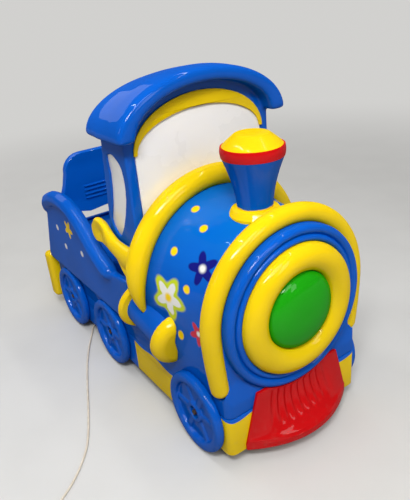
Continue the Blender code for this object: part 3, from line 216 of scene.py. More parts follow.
# %% [markdown]
# ## Sprayed paint
# The barrel carries soft-edged stars and dots in several colours. The skirt is yellow under the engine
# only, with a loose blue wave along its top edge. Each shape is a distance test on the piece's own
# coordinates: a star is a circle whose radius swings with the angle. On the barrel, the height is measured
# round the curve, so that a star doesn't stretch there.


# %% Sprayed stars, dots and waves
BARREL_AXIS = sum(corner.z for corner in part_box("lamp_lens")) / 2
BARREL_REACH = 0.27
WHITE_PAINT = (0.83, 0.83, 0.80, 1.0)
LIME_PAINT = (0.55, 0.66, 0.02, 1.0)
NAVY_PAINT = (0.006, 0.008, 0.20, 1.0)
RED_PAINT = (0.62, 0.03, 0.06, 1.0)
# a lighter blue over the barrel's top: partly sprayed paint, partly a painted sheen from the light above
SPRAY_AND_SHEEN_BLUE = (0.004, 0.190, 0.600, 1.0)
LIGHTER_TOP_START, LIGHTER_TOP_END, LIGHTER_TOP_SHARE, CLOUD_SCALE, CLOUD_HEIGHT = 0.60, 0.84, 0.60, 5.0, 0.16
YELLOW_START, PAINT_EDGE = 0.060, 0.001
WAVE_SLANT, WAVE_TIGHTNESS, WAVE_HEIGHT, WAVE_LINE = 1.3, 34.0, 0.005, 0.176
FOOT_LINE, FOOT_WANDER, FOOT_EDGE = 0.724, 0.010, 0.002
# Each star is a spot and its layers: radius, colour, depth of the points, turn and softness of the edge.
BARREL_STARS = (
    ((0.365, 0.030), ((0.074, LIME_PAINT, 0.18, 0.6, 0.007), (0.056, WHITE_PAINT, 0.26, 0.6, 0.004),
                      (0.014, YELLOW, 0.0, 0.0, 0.006))),
    ((0.475, 0.165), ((0.054, NAVY_PAINT, 0.26, 2.0, 0.004), (0.012, WHITE_PAINT, 0.0, 0.0, 0.006))),
    ((0.495, -0.040), ((0.038, RED_PAINT, 0.26, 1.1, 0.004), (0.008, WHITE_PAINT, 0.0, 0.0, 0.004))),
)
BARREL_DOTS = ((0.440, 0.085), (0.350, 0.170), (0.415, -0.075), (0.400, 0.270), (0.320, 0.310))
BARREL_DOT, TENDER_DOT = 0.013, 0.012
TENDER_STAR = (-0.330, 0.500)
TENDER_DOTS = ((-0.460, 0.470), (-0.230, 0.430), (-0.400, 0.405))


def star(tree, plane, spot, radius, colour, base, depth=0.24, turn=0.0, soft=0.0022):
    """Spray a five-pointed star, or a dot where depth is 0, over a colour."""
    side = maths(tree, "SUBTRACT", plane[0], spot[0])
    rise = maths(tree, "SUBTRACT", plane[1], spot[1])
    reach = hypotenuse(tree, side, rise)
    swing = maths(tree, "COSINE", maths(tree, "MULTIPLY_ADD", maths(tree, "ARCTAN2", rise, side), 5.0, turn))
    edge = maths(tree, "MULTIPLY_ADD", swing, radius * depth, radius * (1 - depth))
    share = ramp(tree, maths(tree, "SUBTRACT", edge, reach), -soft, soft)
    return blend(tree, share, base, colour)


def barrel_paint(tree, where, parts, base):
    height = maths(tree, "SUBTRACT", parts[2], BARREL_AXIS)
    turn_up = maths(tree, "ARCTAN2", height, maths(tree, "ABSOLUTE", parts[1]))
    round_it = maths(tree, "MULTIPLY", turn_up, BARREL_REACH)
    # the top of the barrel turns lighter blue: sprayed paint in part, painted sheen in part
    puffs = maths(tree, "MULTIPLY", noise(tree, where, CLOUD_SCALE), CLOUD_HEIGHT)
    cloud = maths(tree, "ADD", parts[2], puffs)
    sky = maths(tree, "MULTIPLY", ramp(tree, cloud, LIGHTER_TOP_START, LIGHTER_TOP_END), LIGHTER_TOP_SHARE)
    base = blend(tree, sky, base, SPRAY_AND_SHEEN_BLUE)
    plane = (parts[0], round_it)
    for spot, layers in BARREL_STARS:
        for radius, colour, depth, turn, soft in layers:
            base = star(tree, plane, spot, radius, colour, base, depth, turn, soft)
    for spot in BARREL_DOTS:
        base = star(tree, plane, spot, BARREL_DOT, YELLOW, base, 0.0, 0.0, 0.003)
    return base


def skirt_paint(tree, where, parts, base):
    slanted = maths(tree, "ADD", parts[0], maths(tree, "MULTIPLY", parts[1], WAVE_SLANT))
    wave = maths(tree, "SINE", maths(tree, "MULTIPLY", slanted, WAVE_TIGHTNESS))
    line = maths(tree, "MULTIPLY_ADD", wave, WAVE_HEIGHT, WAVE_LINE)
    over_line = ramp(tree, maths(tree, "SUBTRACT", parts[2], line), -PAINT_EDGE, PAINT_EDGE)
    base = blend(tree, over_line, base, BLUE)
    behind = ramp(tree, parts[0], YELLOW_START + PAINT_EDGE, YELLOW_START - PAINT_EDGE)
    return blend(tree, behind, base, BLUE)


def tender_paint(tree, where, parts, base):
    plane = (parts[0], parts[2])
    base = star(tree, plane, TENDER_STAR, 0.038, YELLOW, base, 0.25, 0.9)
    for spot in TENDER_DOTS:
        base = star(tree, plane, spot, TENDER_DOT, WHITE_PAINT, base, 0.0)
    return base


def chimney_paint(tree, where, parts, base):
    edge = maths(tree, "MULTIPLY_ADD", noise(tree, where, 30.0), FOOT_WANDER, FOOT_LINE)
    below = ramp(tree, maths(tree, "SUBTRACT", edge, parts[2]), -FOOT_EDGE, FOOT_EDGE)
    return blend(tree, below, base, YELLOW)


barrel_blue = gelcoat("barrel_blue", BLUE, barrel_paint)
skirt_yellow = gelcoat("skirt_yellow", YELLOW, skirt_paint)
tender_blue = gelcoat("tender_blue", BLUE, tender_paint)
chimney_blue = gelcoat("chimney_blue", BLUE, chimney_paint)
print("sprayed gelcoats ready, barrel axis at", round(BARREL_AXIS, 4))

# %% [markdown]
# ## Other finishes
# The windscreen and side lights are opaque white panels, yellowed unevenly. Below the floor are zinc plate,
# black paint, rubber and grey plastic, each with the blotches or grain that tells it apart, and the lead
# has a smooth cream sheath.


# %% Other finishes
GRAIN_SCALE, GRAIN_STRENGTH, GRAIN_HEIGHT = 120.0, 0.1, 0.0008


def plain_finish(name, colour, other, rough, metallic=0.0, scale=20.0, coat=0.0):
    """Blotches of two colours, uneven shine and a fine grain."""
    material, tree, shader, where, _ = new_finish(name)
    patches = ramp(tree, noise(tree, where, scale, 5.0), 0.36, 0.66)
    plug_in(tree, shader.inputs["Base Color"], blend(tree, patches, colour, other))
    shader.inputs["Metallic"].default_value = metallic
    shader.inputs["Coat Weight"].default_value = coat
    worn = ramp(tree, noise(tree, where, scale * 2.3, 5.0), 0.3, 0.7, *rough)
    plug_in(tree, shader.inputs["Roughness"], worn)
    bump(tree, shader, noise(tree, where, GRAIN_SCALE), GRAIN_STRENGTH, GRAIN_HEIGHT)
    return material


white_panel = plain_finish("white_panel", (0.88, 0.87, 0.86, 1), (0.87, 0.85, 0.82, 1), (0.25, 0.29),
                           scale=1.0, coat=0.2)
zinc_steel = plain_finish("zinc_steel", (0.56, 0.57, 0.58, 1), (0.40, 0.36, 0.32, 1), (0.28, 0.55), 1.0, 60.0)
# dark reddish brown: rust, and painted shade where it lines the wheels' hub holes and the axle ends in them
rust_and_shade_steel = plain_finish("rust_and_shade_steel", (0.050, 0.022, 0.014, 1), (0.022, 0.012, 0.010, 1), (0.60, 0.85),
                           0.2, 90.0)
black_steel = plain_finish("black_steel", (0.020, 0.020, 0.022, 1), (0.050, 0.042, 0.036, 1), (0.35, 0.60),
                           scale=26.0)
black_rubber = plain_finish("black_rubber", (0.018, 0.018, 0.018, 1), (0.050, 0.048, 0.045, 1), (0.65, 0.90),
                            scale=70.0)
grey_plastic = plain_finish("grey_plastic", (0.24, 0.25, 0.26, 1), (0.19, 0.20, 0.21, 1), (0.42, 0.60),
                            scale=30.0)
cream_flex = plain_finish("cream_flex", (0.78, 0.70, 0.58, 1), (0.68, 0.60, 0.49, 1), (0.36, 0.55),
                          scale=35.0)
print("other finishes ready")

# %% [markdown]
# ## Modelling helpers
# Four ways make nearly every piece. A copy of a CAD node is merged and gets soft edges, where its shape is
# already right. A turned piece is one point that is extruded along a profile and spun. A rod is a curve
# with a round section, made a mesh once its ends are domed. And pieces that flow into each other are
# joined, remeshed in small cubes and smoothed.


# %% Modelling helpers
def select_only(piece=None):
    bpy.ops.object.select_all(action="DESELECT")
    if piece is not None:
        piece.select_set(True)
        bpy.context.view_layer.objects.active = piece


def edit(piece):
    select_only(piece)
    bpy.ops.object.mode_set(mode="EDIT")
    bpy.ops.mesh.select_all(action="SELECT")


def done():
    bpy.ops.object.mode_set(mode="OBJECT")


def done_outward():
    """Turn all faces outwards and leave edit mode."""
    bpy.ops.mesh.select_all(action="SELECT")
    bpy.ops.mesh.normals_make_consistent(inside=False)
    done()


def angles(*span):
    return [math.radians(step) for step in range(*span)]


def apply_modifier(piece, kind, **settings):
    select_only(piece)
    bpy.ops.object.modifier_add(type=kind)
    modifier = piece.modifiers[-1]
    for name, value in settings.items():
        setattr(modifier, name, value)
    bpy.ops.object.modifier_apply(modifier=modifier.name)


def soften(piece, width, segments, limit, **settings):
    """Round the edges that are sharper than a limit in degrees."""
    apply_modifier(piece, "BEVEL", width=width, segments=segments, limit_method="ANGLE",
                   angle_limit=math.radians(limit), **settings)


def unite(piece, other):
    apply_modifier(piece, "BOOLEAN", object=other, operation="UNION", solver="EXACT")
    bpy.data.objects.remove(other)


def block(name, size, place=(0, 0, 0)):
    select_only()
    bpy.ops.mesh.primitive_cube_add(size=1.0, location=place)
    piece = bpy.context.object
    piece.name = name
    piece.scale = size
    bpy.ops.object.transform_apply()
    return piece


def settle(piece, finish, body, slot, *nodes, angle=35):
    """Shade and paint a finished piece, then hand it to its body."""
    select_only(piece)
    bpy.ops.object.shade_smooth_by_angle(angle=math.radians(angle))
    piece.data.materials.clear()
    piece.data.materials.append(finish)
    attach(piece, body)
    if nodes:
        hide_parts(*nodes)
    print(piece.name, len(piece.data.polygons), "faces on", body)
    return piece


def soft_copy(node, name, width, segments=3, limit=30):
    """A merged copy of a CAD node with rounded edges."""
    piece = bpy.data.objects.new(name, frame["nodes"][node].data.copy())
    bpy.context.scene.collection.objects.link(piece)
    edit(piece)
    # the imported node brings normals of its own, which would keep the old shading
    bpy.ops.mesh.customdata_custom_splitnormals_clear()
    bpy.ops.mesh.remove_doubles(threshold=0.00002)
    bpy.ops.mesh.tris_convert_to_quads(face_threshold=math.radians(0.5), shape_threshold=math.radians(50))
    done()
    if width:
        soften(piece, width, segments, limit, miter_outer="MITER_ARC")
    return piece


def turned(name, profile, placement, steps=96):
    """Spin a profile of (radius, height) pairs about Z, then put it in place."""
    select_only()
    bpy.ops.mesh.primitive_plane_add(size=0.01)
    piece = bpy.context.object
    piece.name = name
    edit(piece)
    bpy.ops.mesh.merge(type="CENTER")
    here = Vector((profile[0][0], 0, profile[0][1]))
    bpy.ops.transform.translate(value=here)
    for radius, height in profile[1:]:
        there = Vector((radius, 0, height))
        bpy.ops.mesh.extrude_region_move(TRANSFORM_OT_translate={"value": there - here})
        here = there
    bpy.ops.mesh.select_all(action="SELECT")
    bpy.ops.mesh.spin(steps=steps, angle=2 * math.pi, center=(0, 0, 0), axis=(0, 0, 1))
    bpy.ops.mesh.select_all(action="SELECT")
    bpy.ops.mesh.remove_doubles(threshold=0.00001)
    done_outward()
    piece.matrix_world = placement
    bpy.ops.object.transform_apply()
    return piece


def tube(name, line, radius, resolution):
    """A round curve through pairs of a place and a share of the radius."""
    select_only()
    bpy.ops.curve.primitive_nurbs_path_add()
    piece = bpy.context.object
    piece.name = name
    curve = piece.data
    curve.splines.clear()
    spline = curve.splines.new("POLY")
    spline.points.add(len(line) - 1)
    for point, (spot, share) in zip(spline.points, line):
        point.co = (*spot, 1)
        point.radius = share
    curve.bevel_depth = radius
    curve.bevel_resolution = resolution
    curve.use_fill_caps = True
    return piece


def rod(name, path, radius, round_ends=(True, True), resolution=8):
    """A round bar along (x, y, z, share of the radius), with domed or flat ends."""
    line = [(Vector(point[:3]), point[3]) for point in path]
    for end, rounded in zip((0, -1), round_ends):
        if rounded:
            tip, share = line[end]
            outward = (tip - line[-2 if end else 1][0]).normalized()
            dome = [(tip + outward * radius * share * math.sin(a), share * math.cos(a))
                    for a in angles(10, 90, 10)]
            line = line + dome if end else dome[::-1] + line
    piece = tube(name, line, radius, resolution)
    bpy.ops.object.convert(target="MESH")
    edit(piece)
    bpy.ops.mesh.remove_doubles(threshold=0.00002)
    done_outward()
    return piece


def blended(piece, voxel, rounds, *others):
    """Melt a piece and its neighbours into one moulding with flowing edges."""
    select_only(piece)
    for other in others:
        other.select_set(True)
    if others:
        bpy.ops.object.join()
    apply_modifier(piece, "REMESH", mode="VOXEL", voxel_size=voxel)
    apply_modifier(piece, "SMOOTH", factor=0.5, iterations=rounds)
    return piece


print("modelling helpers ready")

# %% [markdown]
# ## Mains lead
# A cream flex leaves the base between the rear wheels and runs forward over the floor. What the photograph
# doesn't show of it lies in a neat coil outside the picture. It could be simulated, but a lead that lies
# flat is quicker as one smooth curve through measured points, followed by the formula of the coil.

# %% Mains lead
CORD_RADIUS = 0.0035
CORD_EXIT = Vector((-0.405, -0.2053, 0.012))
LYING = 0.0038
DROP = ((-0.405, -0.224, 0.0120), (-0.399, -0.240, 0.0085), (-0.386, -0.252, 0.0050))
FLOOR_LINE = ((-0.366, -0.265), (-0.319, -0.294), (-0.265, -0.326), (-0.185, -0.369), (-0.087, -0.414),
              (0.039, -0.467), (0.112, -0.498), (0.179, -0.528), (0.224, -0.551), (0.257, -0.571),
              (0.292, -0.598), (0.323, -0.626), (0.356, -0.661), (0.386, -0.702), (0.415, -0.745),
              (0.446, -0.790))
COIL_TURNS, COIL_INNER, COIL_PITCH, COIL_DIP = 3, 0.0310, 0.0079, 0.0024
LOOP_POINTS = 48
TAIL_LENGTH, TAIL_POINTS, TAIL_FLAT, TAIL_RISE, PLUG_HEIGHT = 0.050, 12, 0.15, 0.7, 0.0193


def smooth_through(points, pieces=5):
    padded = [2 * points[0] - points[1]] + points + [2 * points[-1] - points[-2]]
    fine = []
    for before, start, end, after in zip(padded, padded[1:], padded[2:], padded[3:]):
        for i in range(pieces):
            t = i / pieces
            fine.append(0.5 * (2 * start + (end - before) * t
                               + (2 * before - 5 * start + 4 * end - after) * t ** 2
                               + (3 * start - before - 3 * end + after) * t ** 3))
    return fine + [points[-1]]


def coil(start, heading):
    """Turns inwards on the floor, half a turn up, turns outwards on top, and a tail up to the plug."""
    outer = COIL_INNER + COIL_TURNS * COIL_PITCH
    ahead = Vector((heading.x, heading.y, 0)).normalized()
    inward = Vector((ahead.y, -ahead.x, 0))
    first = start + ahead * 2 * CORD_RADIUS
    centre = first + inward * outer
    low, high = first.z, first.z + COIL_PITCH
    lower, half = LOOP_POINTS * COIL_TURNS, LOOP_POINTS // 2
    points = [start + ahead * CORD_RADIUS]
    for i in range(2 * lower + 1):
        angle = 2 * math.pi * i / LOOP_POINTS
        rising = min(1.0, max(0.0, (i - lower) / half))
        if i < lower:
            radius = outer - COIL_PITCH * i / LOOP_POINTS
        else:
            outward = COIL_PITCH * max(0, i - lower - half) / LOOP_POINTS
            radius = COIL_INNER - COIL_DIP * math.sin(math.pi * rising) + outward
        spot = centre + radius * (ahead * math.sin(angle) - inward * math.cos(angle))
        points.append(Vector((spot.x, spot.y, low + (high - low) * (1 - math.cos(math.pi * rising)) / 2)))
    last, leave = points[-1], points[-1] - points[-2]
    leave = Vector((leave.x, leave.y, 0)).normalized()
    for i in range(1, TAIL_POINTS + 1):
        rise = min(1.0, max(0.0, (i / TAIL_POINTS - TAIL_FLAT) / TAIL_RISE))
        spot = last + leave * TAIL_LENGTH * i / TAIL_POINTS
        points.append(Vector((spot.x, spot.y, high + (PLUG_HEIGHT - high) * rise * rise * (3 - 2 * rise))))
    return points, centre, inward


floor_points = [Vector((x, y, LYING)) for x, y in FLOOR_LINE]
route = smooth_through([CORD_EXIT] + [Vector(point) for point in DROP] + floor_points)
turns, coil_middle, coil_far = coil(route[-1], route[-1] - route[-2])
route += turns
cord_length = sum((b - a).length for a, b in zip(route, route[1:]))
lead = tube("mains_lead", [(spot, 1.0) for spot in route], CORD_RADIUS, 4)
lead.data.splines[0].use_smooth = True
lead.data.materials.append(cream_flex)
plug = settle(soft_copy("plug", "mains_plug", 0.0008, 2), cream_flex, "base", "cream_flex", "plug")
print("lead", round(cord_length, 3), "m")

# %% [markdown]
# ## Coil tie
# A flat rubber tie holds the coil together on the side away from the plug. A cube is hollowed through from
# end to end: its two ends are inset, and the inner faces are bridged. Faces have to be picked in face mode
# here, because two opposite faces of a cube hold all its corners.

# %% Coil tie
TIE_WIDTH, TIE_THICK, TIE_ROOM, TIE_ROUND = 0.011, 0.0007, 0.0004, 0.0003
tie_reach = COIL_TURNS * COIL_PITCH + 2 * CORD_RADIUS
tie_height = LYING + COIL_PITCH + CORD_RADIUS + TIE_THICK + TIE_ROOM
tie = block("coil_tie", (tie_reach + 2 * TIE_THICK, TIE_WIDTH, tie_height))
edit(tie)
bpy.ops.mesh.select_mode(type="FACE")
bpy.ops.mesh.select_all(action="DESELECT")
done()
for face in tie.data.polygons:
    face.select = abs(face.normal.y) > 0.9
bpy.ops.object.mode_set(mode="EDIT")
bpy.ops.mesh.inset(thickness=TIE_THICK)
bpy.ops.mesh.bridge_edge_loops()
bpy.ops.mesh.select_mode(type="VERT")
done_outward()
soften(tie, TIE_ROUND, 2, 60)
tie_place = coil_middle + coil_far * (COIL_INNER + (COIL_TURNS - 0.5) * COIL_PITCH / 2)
tie_turn = Matrix.Rotation(math.atan2(coil_far.y, coil_far.x), 4, "Z")
tie.matrix_world = Matrix.Translation((tie_place.x, tie_place.y, tie_height / 2)) @ tie_turn
bpy.ops.object.transform_apply()
settle(tie, black_rubber, "base", "black_rubber")
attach(lead, "base")
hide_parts("cord_run", "cord_coil")
print("tie", round(tie_reach, 4), "by", round(tie_height, 4), "m")

# %% [markdown]
# ## Floor
# A plain pale floor has no shine and throws back less light than it shows, so that the sides of the ride
# keep their depth of colour. A curved backdrop would hide the horizon too, but it would stand in some view,
# so the floor fades to the tone of the world far away instead.

# %% Floor
select_only()
bpy.ops.mesh.primitive_plane_add(size=80)
floor = bpy.context.object
floor.name = "studio_floor"
FAR_TONE = (0.64, 0.635, 0.62, 1)
BOUNCE_TONE = (0.30, 0.29, 0.28, 1)
FADE_START, FADE_END = 1.4, 5.0
pale_floor = plain_finish("pale_floor", (0.66, 0.655, 0.64, 1), FAR_TONE, (0.60, 0.75), scale=3.0)
tree = pale_floor.node_tree
paint = tree.nodes["Principled BSDF"]
paint.inputs["Specular IOR Level"].default_value = 0.0
rays = tree.nodes.new("ShaderNodeLightPath").outputs
parts = tree.nodes["Separate XYZ"].outputs
away = hypotenuse(tree, parts[0], parts[1])
mirrored = maths(tree, "MAXIMUM", rays["Is Camera Ray"], rays["Is Glossy Ray"])
shown = maths(tree, "MAXIMUM", mirrored, rays["Is Transmission Ray"])
floor_colour = paint.inputs["Base Color"]
plug_in(tree, floor_colour, blend(tree, shown, BOUNCE_TONE, floor_colour.links[0].from_socket))
glow = tree.nodes.new("ShaderNodeEmission")
glow.inputs["Color"].default_value = FAR_TONE
fade = tree.nodes.new("ShaderNodeMixShader")
plug_in(tree, fade.inputs[0], maths(tree, "MULTIPLY", ramp(tree, away, FADE_START, FADE_END), shown))
plug_in(tree, fade.inputs[1], paint.outputs[0])
plug_in(tree, fade.inputs[2], glow.outputs[0])
plug_in(tree, tree.nodes["Material Output"].inputs[0], fade.outputs[0])
floor.data.materials.append(pale_floor)
print("floor fades from", FADE_START, "to", FADE_END, "m")

# %% [markdown]
# ## Lamps and world
# A lamp and a soft sun, both from ahead and above, do most of the lighting, so that the nose and the tops
# are bright and the sides fall off. Narrow tubes overhead leave the crisp streaks of strip lights on the
# gloss, which one large lamp would wash out.

# %% Lamps and world
LAMPS = (  # name, place, aim, size in metres and power in watts
    ("key_box", (2.0, -1.5, 3.0), (0.3, 0, 0.5), (1.0, 0.5), 64),
    ("front_lamp", (3.6, 0.6, 2.2), (0.4, 0, 0.5), (0.8, 1.4), 14),
    ("side_lamp", (-0.6, -3.4, 2.4), (-0.3, 0, 0.5), (1.0, 0.8), 6),
    ("tail_lamp", (-3.2, -0.4, 2.6), (-0.3, 0, 0.6), (2.4, 1.4), 22),
    ("near_tube", (0.3, -0.9, 3.0), (0.3, -0.2, 0.5), (2.8, 0.05), 17),
    ("far_tube", (0.3, 0.8, 3.0), (0.3, 0.2, 0.5), (2.8, 0.06), 12),
)
SUN_FROM, SUN_POWER, SUN_WIDTH = Vector((0.70, -0.14, 0.78)), 0.8, math.radians(26)
WORLD_LIGHT = 0.36
for name, spot, aim, size, power in LAMPS:
    bpy.ops.object.light_add(type="AREA", location=spot)
    lamp = bpy.context.object
    lamp.name = name
    lamp.rotation_euler = (Vector(aim) - Vector(spot)).to_track_quat("-Z", "Y").to_euler()
    lamp.data.shape = "RECTANGLE"
    lamp.data.size, lamp.data.size_y = size
    lamp.data.energy = power
bpy.ops.object.light_add(type="SUN", rotation=SUN_FROM.to_track_quat("Z", "Y").to_euler())
sun = bpy.context.object
sun.data.energy = SUN_POWER
sun.data.angle = SUN_WIDTH
world = bpy.data.worlds.new("studio")
bpy.context.scene.world = world
world.use_nodes = True
sky = world.node_tree.nodes["Background"]
sky.inputs["Color"].default_value = FAR_TONE
seen = world.node_tree.nodes.new("ShaderNodeLightPath").outputs["Is Camera Ray"]
plug_in(world.node_tree, sky.inputs["Strength"], ramp(world.node_tree, seen, 0, 1, WORLD_LIGHT, 1.0))
print(len(LAMPS), "lamps, a sun and a world")

# %% [markdown]
# ## Shells that follow the CAD shape
# Many shells are right as they are in CAD and only need soft edges, because a mould has no sharp ones. One
# table names each node, its edge radius in metres, its finish and its material slot.

# %% Shells with soft edges
SIDES = ("left", "right")
SHELLS = (
    ("skirt", 0.004, skirt_yellow, "yellow_gelcoat"),
    ("boiler_shell", 0.0, barrel_blue, "blue_gelcoat"),
    ("chimney", 0.0, chimney_blue, "blue_gelcoat"),
    ("windscreen", 0.0015, white_panel, "white_panel"),
    ("windscreen_trim", 0.0025, yellow_gelcoat, "yellow_gelcoat"),
    *(("side_window_" + side, 0.0015, white_panel, "white_panel") for side in SIDES),
    *((node, 0.006, blue_gelcoat, "blue_gelcoat") for node in ("dashboard", "seat_tub", "seat")),
)
for node, width, finish, slot in SHELLS:
    settle(soft_copy(node, node + "_shell", width), finish, "ride_body", slot, node)

# %% [markdown]
# ## Tender sides, cab, roof and smokebox
# These mouldings have no edge that a bevel could follow: the tender's rolled rim melts into its side, the
# cab's front and walls swell into pillars, the roof is a soft cushion with a fat lip, and the smokebox
# flows down to the buffer beam. A voxel remesh of the CAD shapes and a few rounds of smoothing give that
# flow.

# %% Melted mouldings
for side in SIDES:
    tender = blended(soft_copy("tender_side_" + side, "tender_" + side + "_moulding", 0.0), 0.0045, 14)
    settle(tender, tender_blue, "ride_body", "blue_gelcoat", "tender_side_" + side, angle=60)
walls = [soft_copy("cab_side_" + side, "cab_wall", 0.0) for side in SIDES]
roof = blended(soft_copy("roof", "roof_cushion", 0.0), 0.0045, 30)
cab = blended(soft_copy("cab_bulkhead", "cab_and_roof", 0.0), 0.0040, 10, roof, *walls)
settle(cab, blue_gelcoat, "ride_body", "blue_gelcoat", "cab_bulkhead", "cab_side_left", "cab_side_right",
       "roof", angle=60)
smokebox = blended(soft_copy("smokebox", "smokebox_moulding", 0.0), 0.0035, 8)
settle(smokebox, blue_gelcoat, "ride_body", "blue_gelcoat", "smokebox", angle=60)

# %% [markdown]
# ## Backrest and rear bumper
# The backrest is a board with a raised border and a few ribs low on its front. Its front face is inset and
# sunk to leave the border standing. The bumper is a box with fat round edges.

# %% Backrest and rear bumper
BORDER, SUNK, BOARD_ROUND = 0.034, 0.011, 0.006
RIBS, RIB_FOOT, RIB_STEP, RIB_BACK, RIB_ROUND = 4, 0.055, 0.017, 0.010, 0.0034
RIB_SIZE = (0.010, 0.300, 0.008)
BUMPER_ROUND = 0.020
board = soft_copy("backrest", "backrest_board", 0.0)
edit(board)
bpy.ops.mesh.select_all(action="DESELECT")
done()
for face in board.data.polygons:
    face.select = face.normal.x > 0.9
bpy.ops.object.mode_set(mode="EDIT")
bpy.ops.mesh.inset(thickness=BORDER)
bpy.ops.transform.translate(value=(-SUNK, 0, 0))
done()
soften(board, BOARD_ROUND, 3, 35)
back_low, back_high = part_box("backrest")
for step in range(RIBS):
    rib_z = back_low.z + RIB_FOOT + RIB_STEP * step
    rib = block("rib", RIB_SIZE, (back_high.x - RIB_BACK, 0, rib_z))
    apply_modifier(rib, "BEVEL", width=RIB_ROUND, segments=3)
    unite(board, rib)
settle(board, blue_gelcoat, "ride_body", "blue_gelcoat", "backrest")
bumper_low, bumper_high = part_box("rear_bumper")
bumper = block("rear_bumper_beam", bumper_high - bumper_low, (bumper_low + bumper_high) / 2)
apply_modifier(bumper, "BEVEL", width=BUMPER_ROUND, segments=6)
settle(bumper, yellow_gelcoat, "ride_body", "yellow_gelcoat", "rear_bumper")

# %% [markdown]
# ## Steam cylinders
# Each dummy cylinder is a tilted barrel with a flange at its rear. Flange and cap are yellow and the barrel
# is blue, so the faces behind a line along the tilted axis get a second material. The caps are melted to
# round them.

# %% Steam cylinders
TILT, CYLINDER_MIDDLE, FLANGE_LINE = math.radians(11), Vector((0.269, 0, 0.353)), -0.0965
axis = Vector((math.cos(TILT), 0, -math.sin(TILT)))
for side in SIDES:
    barrel = soft_copy("cylinder_" + side, "cylinder_" + side + "_barrel", 0.0)
    settle(barrel, blue_gelcoat, "ride_body", "blue_gelcoat", "cylinder_" + side, angle=40)
    barrel.data.materials.append(yellow_gelcoat)
    for face in barrel.data.polygons:
        face.material_index = int((face.center - CYLINDER_MIDDLE).dot(axis) < FLANGE_LINE)
    cap = blended(soft_copy("cylinder_cap_" + side, "cylinder_cap_" + side + "_shell", 0.0), 0.0022, 6)
    settle(cap, yellow_gelcoat, "ride_body", "yellow_gelcoat", "cylinder_cap_" + side, angle=60)

# %% [markdown]
# ## Base and drive
# The skirt hides most of the steel base, the motor and the crank, so they keep their CAD shapes with broken
# edges and get worn workshop finishes.

# %% Base and drive
AXLES = ("rear", "middle", "front")
BASE_PIECES = (
    ("base_frame", 0.0012, black_steel, "base", "black_steel"),
    ("pivot_bracket", 0.0015, black_steel, "ride_body", "black_steel"),
    ("lift_bracket", 0.001, black_steel, "ride_body", "black_steel"),
    ("connecting_rod", 0.001, black_steel, "connecting_rod", "black_steel"),
    ("crank", 0.001, zinc_steel, "crank", "zinc_steel"),
    ("pivot_shaft", 0.001, zinc_steel, "base", "zinc_steel"),
    # the axle ends sit deep in the hub holes, so their dark rust is in part painted shade
    *((axle + "_axle", 0.001, rust_and_shade_steel, "ride_body", "zinc_steel") for axle in AXLES),
    ("gear_motor", 0.003, grey_plastic, "base", "grey_plastic"),
    ("control_box", 0.004, grey_plastic, "base", "grey_plastic"),
    *(("foot_" + corner, 0.0015, black_rubber, "base", "black_rubber")
      for corner in ("front_left", "front_right", "rear_left", "rear_right")),
)
for node, width, finish, body, slot in BASE_PIECES:
    settle(soft_copy(node, node + "_part", width, 2), finish, body, slot, node)

# %% [markdown]
# ## Cord gland
# The lead leaves the base through a ribbed rubber boot that tapers towards the sheath, so that it can't
# kink there. It is turned from a profile with a groove at each rib.

# %% Cord gland
gland_low, gland_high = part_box("cord_gland")
GLAND_LENGTH = gland_high.y - gland_low.y
GLAND_BORE, GROOVE = 0.0038, 0.0014
BOOT_RIBS, BOOT_START, BOOT_PITCH, BOOT_RADIUS, BOOT_TAPER = 5, 0.007, 0.0034, 0.0076, 0.0006
boot = [(GLAND_BORE, 0.0), (0.0078, 0.0), (0.0080, 0.002), (0.0080, 0.006)]
for rib in range(BOOT_RIBS):
    root = BOOT_START + rib * BOOT_PITCH
    width = BOOT_RADIUS - rib * BOOT_TAPER
    boot += [(width - GROOVE, root), (width - GROOVE, root + 0.0012)]
    boot += [(width, root + 0.0016), (width, root + 0.0030)]
boot += [(0.0046, GLAND_LENGTH), (GLAND_BORE, GLAND_LENGTH), (GLAND_BORE, 0.0)]
gland_middle = (gland_low + gland_high) / 2
gland_place = Matrix.Translation((gland_middle.x, gland_high.y, gland_middle.z))
gland = turned("cord_gland_boot", boot, gland_place @ Matrix.Rotation(math.radians(90), 4, "X"), 40)
settle(gland, black_rubber, "base", "black_rubber", "cord_gland")

# %% [markdown]
# ## Smokebox front
# The blue ring has two rounded beads with a groove between them, the yellow door ring is a fat half torus,
# and the green lens is a shallow dome. All three are turned, with far more steps than the CAD solids have.

# %% Smokebox front
ring_low, ring_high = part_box("smokebox_ring")
door_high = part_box("door_ring")[1]
lens_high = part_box("lamp_lens")[1]
RING_RADIUS, RING_BACK, RING_FRONT = ring_high.z - BARREL_AXIS, ring_low.x, ring_high.x
DOOR_RADIUS, DOOR_FRONT = door_high.z - BARREL_AXIS, door_high.x
LENS_RADIUS, LENS_FRONT = lens_high.z - BARREL_AXIS, lens_high.x
GAP, INNER_BEAD, OUTER_BEAD, GROOVE_SHARE = 0.0004, 0.010, 0.013, 0.42


def bead(start, end, foot, top, count=12):
    """A rounded ridge between two radii."""
    turns = [i / count for i in range(count + 1)]
    return [(start + (end - start) * t, foot + (top - foot) * math.sin(math.pi * t) ** 0.55) for t in turns]


